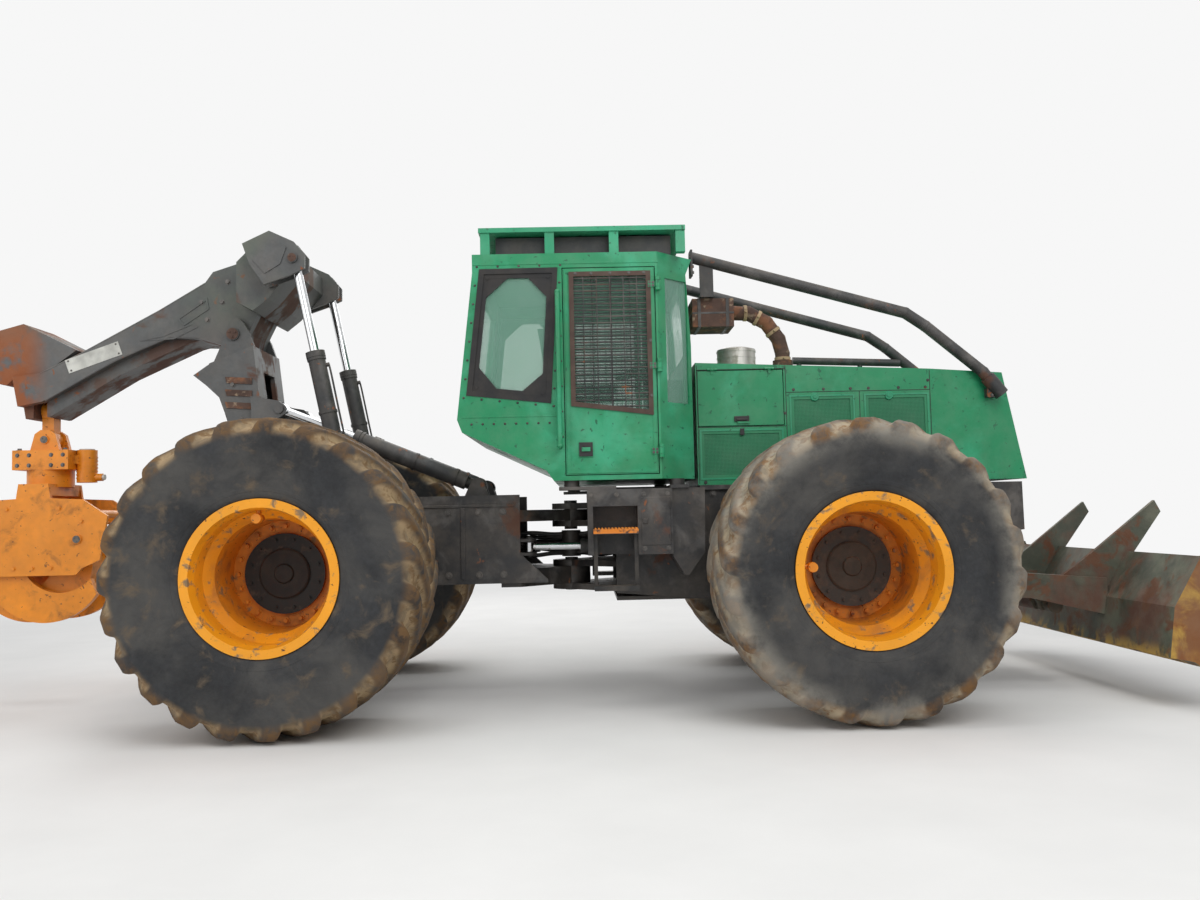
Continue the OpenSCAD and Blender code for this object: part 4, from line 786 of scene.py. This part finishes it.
def frame_sides(side):
    n, y, yt = side_name(side), FRAME_Y, CAB_Y
    bm = bmesh.new()
    rows = [(x, z) for x in (0.95, 1.10, 1.38, 1.52, 1.86, 2.00, 2.20, 2.38) for z in (0.70, 1.33)]
    side_bolts(bm, side, y, rows, 0.016, 0.018)
    side_bolts(bm, side, y, circle(*AXLES["front"], 0.19, 10), 0.015, 0.016)
    side_bolts(bm, side, y, ((2.65, 1.10), (2.65, 1.28), (2.88, 1.12), (2.88, 1.28)), 0.014, 0.014)
    box = ((0.47, 1.33), (0.62, 1.33), (0.47, 0.99), (0.62, 0.99), (0.14, 1.33), (0.30, 1.33))
    side_bolts(bm, side, yt, box, 0.011, 0.010)
    piece("front_frame_bolts_" + n, bm, "bolt_steel", "front_frame")
    bm = bmesh.new()
    side_box(bm, side, (0.452, 0.636), proud(yt, 0, 0.004), (1.01, 1.31), 0.002)
    for z in (1.06, 1.26):
        add_cyl(bm, m(0.634, side * (yt + 0.006), z - 0.02), m(0.634, side * (yt + 0.006), z + 0.02), 0.007, seg=10)
    side_box(bm, side, (0.462, 0.492), proud(yt, 0.003, 0.012), (1.145, 1.175), 0.003)
    piece("side_box_hatch_" + n, bm, "frame_black", "front_frame")
    bm = bmesh.new()
    for e in range(13):
        x = 0.164 + e * 0.0213
        for yy in (0.655, 0.715, 0.775, 0.835):
            add_cyl(bm, m(x, side * yy, 1.114), m(x, side * yy, 1.124), 0.009, 0.004, seg=6)
    piece("step_teeth_" + n, bm, "orange_paint", "front_frame")
    bm = bmesh.new()
    for x in (-2.25, -2.05, -1.38, -1.20, -1.00, -0.80, -0.60, -0.44):
        side_bolts(bm, side, y, ((x, 0.83 if x > -2.0 else 0.90), (x, 1.24)), 0.016, 0.018)
    side_bolts(bm, side, y, circle(*AXLES["rear"], 0.19, 10), 0.015, 0.016)
    piece("rear_frame_bolts_" + n, bm, "bolt_steel", "rear_frame")
    bm = bmesh.new()
    for x in (-1.0, -0.72):
        side_box(bm, side, (x, x + 0.03), proud(y, 0, 0.010), (0.80, 1.27), 0.003)
    side_box(bm, side, (-1.14, -0.36), proud(y, 0, 0.008), (1.272, 1.290), 0.003)
    piece("rear_frame_ribs_" + n, bm, "frame_black", "rear_frame")


# -------------------------------------- pins and cylinders
PINS = [  # name, x, z, distance of the face from the middle, radius, body, material
    ("boom_pivot", -2.27, 2.49, 0.278, 0.045, "arch", "rusty_steel"),
    ("arch_pivot", -1.95, 1.20, 0.470, 0.080, "rear_frame", "bolt_steel"),
    ("boom_eye", -1.79, 2.94, 0.547, 0.032, "boom", "rusty_steel"),
    ("boom_foot", -1.49, 1.50, 0.532, 0.048, "arch", "rusty_steel"),
    ("blade_pivot", 2.35, 0.72, 0.545, 0.048, "front_frame", "bolt_steel"),
    ("tong_pin_rear", -3.925, 1.12, 0.249, 0.028, "grapple_head", "bolt_steel"),
    ("tong_pin_front", -3.325, 1.12, 0.249, 0.028, "grapple_head", "bolt_steel"),
    ("swing_pin", -3.625, 1.81, 0.100, 0.028, "swivel_housing", "bolt_steel"),
]


def pin_caps():
    """Keeper plates with three bolts on the large pins."""
    for name, x, z, y, r, body, mat in PINS:
        bm = bmesh.new()
        for side in (-1, 1):
            side_cyl(bm, side, x, z, proud(y, 0, 0.005), r * 0.88, seg=24)
            side_bolts(bm, side, y + 0.005, circle(x, z, r * 0.5, 3, 0.75 / math.pi), r * 0.17, r * 0.14)
        piece(name + "_caps", bm, mat, body)


def cylinder_fittings(name, foot, eye, y, length, r, rod_r, body, tube=True):
    """Weld rings, gland, ports and a hard line on both barrels of a pair, y from the middle."""
    foot = Vector(foot)
    d = (Vector(eye) - foot).normalized()
    up = Vector((-d.y, d.x)) if d.x > 0 else Vector((d.y, -d.x))
    bm, bright = bmesh.new(), bmesh.new()
    for side in (-1, 1):
        def at(s, off=0.0):
            q = foot + d * s + up * off
            return m(q.x, side * y, q.y)
        for s in (length * 0.93, length * 0.5, 0.16):
            add_cyl(bm, at(s), at(s + 0.018), r * 1.10, seg=28)
        if tube:
            for s in (length * 0.88, 0.13):
                add_cyl(bm, at(s, r * 0.9), at(s, r + 0.020), 0.014, seg=12)
            line = ((0.88, 0.016), (0.80, 0.018), (0.5, 0.016), (0.24, 0.016))
            add_tube(bm, [at(length * s, r + off) for s, off in line], 0.007, 8)
        add_cyl(bright, at(length), at(length + 0.006), rod_r * 1.35, seg=28)
    piece(name + "_fittings", bm, "dark_steel", body, auto=40)
    piece(name + "_glands", bright, "bright_metal", body, auto=40)


# ------------------------------------------ rear and front
BOOM_TOP = [(-3.594, 2.256), (-3.305, 2.394), (-2.783, 2.674), (-2.476, 2.856)]
BOOM_LOW = [(-3.560, 2.066), (-3.080, 2.336), (-2.720, 2.484), (-2.510, 2.474)]
HEAD_PAD = [(-2.667, 2.610), (-2.460, 2.752), (-2.446, 2.674), (-2.619, 2.560)]
NECK_PAD = [(-2.918, 2.462), (-2.687, 2.470), (-2.520, 2.552), (-2.560, 2.580), (-2.760, 2.500)]
CHEEK_PAD = [(-2.05, 2.93), (-1.94, 3.07), (-1.83, 3.01), (-1.87, 2.90), (-1.97, 2.84)]
SWING_X, MOTOR_X, CLEANER_X = -3.625, -3.375, 1.199


def boom_details():
    # blank plate on the boom's right side
    c, s = Vector((-3.232, 2.356)), Vector((0.945, 0.327)).normalized()
    u = Vector((-s.y, s.x))
    plate = [(-0.19, -0.048), (0.19, -0.048), (0.19, 0.048), (-0.19, 0.048)]
    bm = bmesh.new()
    prism(bm, -1, [tuple(c + s * a + u * b) for a, b in plate], proud(BOOM_Y, 0.0005, 0.0025))
    piece("boom_blank_plate", bm, "bare_plate", "boom")
    bm = bmesh.new()
    screws = [tuple(c + s * a + u * b) for b in (-0.034, 0.034) for a in (0.17, -0.17)]
    side_bolts(bm, -1, BOOM_Y + 0.0025, screws, 0.005, 0.004)
    for side in (-1, 1):
        head = ((-2.46, 2.60), (-2.36, 2.72), (-2.50, 2.72), (-2.20, 2.86), (-2.32, 2.86))
        side_bolts(bm, side, BOOM_Y, head, 0.013, 0.012)
    piece("boom_bolts", bm, "bolt_steel", "boom")
    # weld beads along the boom's edges, and the pads on its head
    bm = bmesh.new()
    for side in (-1, 1):
        for edge, dz in ((BOOM_TOP, -0.004), (BOOM_LOW, 0.003)):
            pts = [m(x, side * (BOOM_Y - 0.006), z + dz) for x, z in edge]
            for a, b in zip(pts, pts[1:]):
                add_cyl(bm, a, b, 0.008, seg=8)
        frame_ring(bm, side, HEAD_PAD, 0.012, proud(BOOM_Y, -0.0015, 0.0045))
        frame_ring(bm, side, NECK_PAD, 0.010, proud(BOOM_Y, -0.0015, 0.0035))
    piece("boom_welds", bm, "boom_steel", "boom")
    bm = bmesh.new()
    both(lambda side: prism(bm, side, CHEEK_PAD, proud(CHEEK_Y, 0, 0.006)))
    piece("boom_cheek_pads", bm, "boom_steel", "boom")


def arch_details():
    bm = bmesh.new()
    for side in (-1, 1):
        places = ((-2.14, 1.62), (-2.20, 1.90), (-2.26, 2.14), (-2.05, 1.62), (-2.10, 1.80))
        side_bolts(bm, side, ARCH_Y, places, 0.014, 0.014)
    piece("arch_bolts", bm, "bolt_steel", "arch")
    # slotted wear plates on the arch's sides
    bm = bmesh.new()
    for side in (-1, 1):
        for z in (1.98, 2.065, 2.15):
            slot = [(-2.30, z), (-2.13, z - 0.012), (-2.13, z + 0.030), (-2.31, z + 0.042)]
            prism(bm, side, slot, proud(ARCH_Y, -0.0005, 0.008))
    piece("arch_wear_plates", bm, "rusty_steel", "arch")


def grapple_details():
    """The rotator's flange bolts, the motor's cap and fittings, the head's bolts."""
    bm = bmesh.new()
    for x, y in circle(SWING_X, 0, 0.130, 12, 0.6 / math.pi):
        add_bolt(bm, m(x, y, 1.560), (0, 0, -1), 0.010, 0.009)
    for x in (-3.78, -3.47):
        for y in (-0.12, 0.12):
            add_bolt(bm, m(x, y, 1.735), (0, 0, 1), 0.014, 0.014)
    for side in (-1, 1):
        rows = [(x, z) for z in (1.630, 1.700) for x in (-3.78, -3.70, -3.55, -3.47)]
        side_bolts(bm, side, ROTATOR_Y, rows, 0.010, 0.009)
    piece("rotator_bolts", bm, "bolt_steel", "swivel_housing")
    bm = bmesh.new()
    discs(bm, MOTOR_X, [1.535 + e * 0.024 for e in range(7)], 0.069, 0.010, 28)
    piece("motor_ribs", bm, "orange_paint", "swivel_housing", auto=40)
    bm = bmesh.new()
    discs(bm, MOTOR_X, [1.736], 0.050, 0.008, 28)
    add_cyl(bm, m(-3.265, 0, 1.545), m(-3.250, 0, 1.545), 0.020, seg=16)
    piece("motor_cap", bm, "bare_plate", "swivel_housing", auto=40)
    bm = bmesh.new()
    for side in (-1, 1):
        places = ((-3.80, 1.33), (-3.45, 1.33), (-3.95, 1.24), (-3.30, 1.24),
                  (SWING_X, 0.93), (-3.75, 0.93), (-3.50, 0.93))
        side_bolts(bm, side, GRAPPLE_Y, places, 0.012, 0.011)
    piece("grapple_head_bolts", bm, "orange_paint", "grapple_head")


def centre_lines():
    """Steel hydraulic lines that meet in a swivel block on the centre hinge's axis."""
    for body, x in (("front_frame", 0.31), ("rear_frame", -0.455)):
        bm = bmesh.new()
        for e in range(7):
            y, z = (e - 3) * 0.040, 0.945 + 0.022 * ((e * 3) % 7)
            add_tube(bm, [m(x, y, z), m(x * 0.62, y, z + 0.012 * (e % 3 - 1)), m(x * 0.3, y * 0.6, z),
                          m(x * 0.1, y * 0.3, z)], 0.015)
        piece("centre_lines_" + body, bm, "hose", body, smooth=True)
    bm = bmesh.new()
    add_cyl(bm, m(0, 0, 0.922), m(0, 0, 1.102), 0.066, seg=32)
    discs(bm, 0, (0.96, 1.02, 1.08), 0.072, 0.012, 32)
    piece("centre_swivel_block", bm, "frame_black", "front_frame", auto=40)


def hood_top():
    # clamps round the exhaust pipe
    bm = bmesh.new()
    middle = ((1.49, 2.16), (1.49, 2.29), (1.465, 2.39), (1.385, 2.505), (1.26, 2.575), (1.11, 2.58))
    pipe = [m(x, -0.2, z) for x, z in middle]
    for q, f in ((0, 0.7), (2, 0.45), (3, 0.5), (4, 0.15), (4, 0.8)):
        c = pipe[q].lerp(pipe[q + 1], f)
        d = (pipe[q + 1] - pipe[q]).normalized() * 0.011
        add_cyl(bm, c - d, c + d, 0.0555, seg=32)
        add_bolt(bm, c + Vector((0, -0.052, 0)), (0, -1, 0), 0.009, 0.022, False)
    piece("exhaust_clamps", bm, "clamp_tan", "front_frame", auto=40)
    bm = bmesh.new()
    for x in (0.885, 1.075):
        add_box(bm, m(x, -0.4225, 2.4465), m(x + 0.022, -0.1175, 2.6425), 0.002)
    add_box(bm, m(0.8485, -0.4215, 2.535), m(1.1305, -0.1185, 2.549), 0.002)
    piece("silencer_straps", bm, "dark_steel", "front_frame")
    bm = bmesh.new()
    discs(bm, CLEANER_X, (2.232, 2.330), 0.1385, 0.012, 48)
    discs(bm, CLEANER_X, (2.285,), 0.1375, 0.012, 48)
    add_cyl(bm, m(CLEANER_X, 0, 2.350), m(CLEANER_X, 0, 2.362), 0.110, 0.095, 48)
    discs(bm, CLEANER_X, (2.362,), 0.018, 0.012, 12)
    discs(bm, CLEANER_X, (2.195,), 0.0735, 0.017, 36)
    piece("precleaner_rings", bm, "bright_metal", "front_frame", auto=40)
    # bolts of the risers' end plates
    bm = bmesh.new()
    for side in (-1, 1):
        for y in (0.42, 0.50):
            for z in (2.80, 2.84):
                add_bolt(bm, m(0.85, side * y, z), (1, 0, 0), 0.010, 0.010)
        side_bolts(bm, side, RISER_Y, ((2.83, 1.945), (2.83, 1.975)), 0.008, 0.008)
    piece("riser_bolts", bm, "bolt_steel", "front_frame")


def blade_details():
    bm = bmesh.new()
    both(lambda side: side_bolts(bm, side, ARM_Y, ((2.60, 0.70), (2.75, 0.70), (2.90, 0.70)), 0.012, 0.010))
    piece("blade_arm_bolts", bm, "bolt_steel", "blade")


for axle in AXLES:
    both(wheel_details, axle)
for axle in AXLES:
    both(lug_tyre, axle)
for sides in (cab_side, hood_side, frame_sides):
    both(sides)
pin_caps()
cylinder_fittings("boom_cylinder", (-1.49, 1.50), (-1.79, 2.94), 0.47, 0.840, 0.056, 0.030, "boom_barrels")
cylinder_fittings("arch_cylinder", (-0.61, 1.415), (-1.93, 1.96), 0.305, 0.900, 0.056, 0.030, "arch_barrels", False)
cylinder_fittings("blade_cylinder", (2.62, 1.18), (3.12, 0.66), 0.3, 0.430, 0.040, 0.024, "blade_barrels")
boom_details()
arch_details()
grapple_details()
hood_top()
blade_details()
centre_lines()

# worn, slightly rounded edges on the folded and welded parts
EDGES = {"cab_shell": 0.006, "hood": 0.006, "roof_guard": 0.004, "door_right": 0.003, "door_left": 0.003,
         "lid_right": 0.003, "lid_left": 0.003, "hood_screens": 0.003, "boom": 0.006, "arch": 0.005,
         "side_tanks": 0.006, "front_frame": 0.003, "rear_frame": 0.003, "blade": 0.004, "grapple_head": 0.004,
         "swivel_housing": 0.004, "crosshead": 0.004, "seat": 0.02, "side_steps": 0.002, "roof_unit": 0.004}
for name, width in EDGES.items():
    b = NODES[name].modifiers.new("edges", "BEVEL")
    b.width, b.segments, b.limit_method, b.angle_limit = width, 2, "ANGLE", math.radians(35)
    b.harden_normals = False
ROUND = ("rim_", "exhaust", "air_", "limb_", "boom_", "arch_", "blade_", "steer_", "tong_", "grapple_", "controls",
         "front_axle", "rear_axle")
for name, o in NODES.items():
    if name.startswith(ROUND):
        o.data.shade_smooth()
        o.data.set_sharp_from_angle(angle=math.radians(38))


# --------------------------------------------------- stage
PALE = (0.93, 0.93, 0.93, 1)
LIGHTS = (("key", (3.5, -7.5, 7.5), 6.0, 420), ("fill", (-6.5, -6.0, 4.5), 6.0, 190),
          ("back", (-1.5, 8.0, 6.5), 6.0, 320), ("top", (0, 0, 9.0), 7.0, 300))  # name, place, size, power


def background_rays(t):
    """1 for the rays that see the pale background: camera, glossy and transmission rays."""
    path = t.nodes.new("ShaderNodeLightPath")
    seen = path.outputs["Is Camera Ray"]
    for kind in ("Is Glossy Ray", "Is Transmission Ray"):
        most = t.nodes.new("ShaderNodeMath")
        most.operation = "MAXIMUM"
        t.links.new(seen, most.inputs[0])
        t.links.new(path.outputs[kind], most.inputs[1])
        seen = most.outputs[0]
    return seen


def mixed(t, fac, a, b, out):
    mix = t.nodes.new("ShaderNodeMixShader")
    for socket, put in zip((fac, a, b), mix.inputs):
        t.links.new(socket, put)
    t.links.new(mix.outputs[0], out.inputs[0])


def floor_material():
    """A pale floor that fades into the background far from the machine."""
    s = Surface("floor", (0.80, 0.79, 0.77), 0.9, spec=0.1)
    s.shade(s.noise(1.5, 6), 0.97, 1.02)
    x, y, _ = s.xyz()
    away = s.math("SQRT", s.math("ADD", s.times(x, x), s.times(y, y)))
    material = s.done()
    far = s.times(s.ramp(away, 5.5, 15.0), background_rays(s.t))
    glow = s.new("ShaderNodeEmission")
    s.put(glow, Color=PALE)
    out = next(n for n in s.t.nodes if n.type == "OUTPUT_MATERIAL")
    mixed(s.t, far, s.b.outputs[0], glow.outputs[0], out)
    return material


def stage():
    bm = bmesh.new()
    bmesh.ops.create_grid(bm, x_segments=1, y_segments=1, size=60)
    me = bpy.data.meshes.new("floor")
    bm.to_mesh(me)
    bm.free()
    o = bpy.data.objects.new("floor", me)
    SCENE.collection.objects.link(o)
    me.materials.append(floor_material())
    w = bpy.data.worlds.new("studio")
    SCENE.world = w
    w.use_nodes = True
    t = w.node_tree
    t.nodes.clear()
    out = t.nodes.new("ShaderNodeOutputWorld")
    lit = t.nodes.new("ShaderNodeBackground")
    seen = t.nodes.new("ShaderNodeBackground")
    lit.inputs[0].default_value = (0.93, 0.96, 1.0, 1)
    lit.inputs[1].default_value = 0.42
    seen.inputs[0].default_value = PALE
    mixed(t, background_rays(t), lit.outputs[0], seen.outputs[0], out)
    for name, at, size, power in LIGHTS:
        ld = bpy.data.lights.new(name, "AREA")
        ld.size = size
        ld.energy = power
        lo = bpy.data.objects.new(name, ld)
        SCENE.collection.objects.link(lo)
        lo.location = at
        lo.rotation_euler = (Vector((0, 0, 1.2)) - Vector(at)).to_track_quat("-Z", "Y").to_euler()


# the photo's camera, as fitted to the photo: radians, pixels and metres
YAW, PITCH, ROLL = 0.0166, 0.061, -0.0226
FOCAL, PHOTO_WIDTH, SENSOR = 1030.16, 1200, 36
CAMERA_AT = (0.0956, -7.2573, 1.2176)


def camera():
    fwd = Vector((math.sin(YAW) * math.cos(PITCH), math.cos(YAW) * math.cos(PITCH), math.sin(PITCH)))
    level = Vector((math.cos(YAW), -math.sin(YAW), 0))
    up = level.cross(fwd)
    r = math.cos(ROLL) * level + math.sin(ROLL) * up
    u = -math.sin(ROLL) * level + math.cos(ROLL) * up
    cd = bpy.data.cameras.new("camera")
    cd.sensor_width = SENSOR
    cd.sensor_fit = "HORIZONTAL"
    cd.lens = SENSOR * FOCAL / PHOTO_WIDTH
    cd.clip_end = 200
    o = bpy.data.objects.new("camera", cd)
    SCENE.collection.objects.link(o)
    mat = Matrix((r, u, -fwd)).transposed().to_4x4()
    mat.translation = m(*CAMERA_AT)
    o.matrix_world = mat
    SCENE.camera = o


stage()
camera()
SCENE.view_settings.view_transform = "Standard"
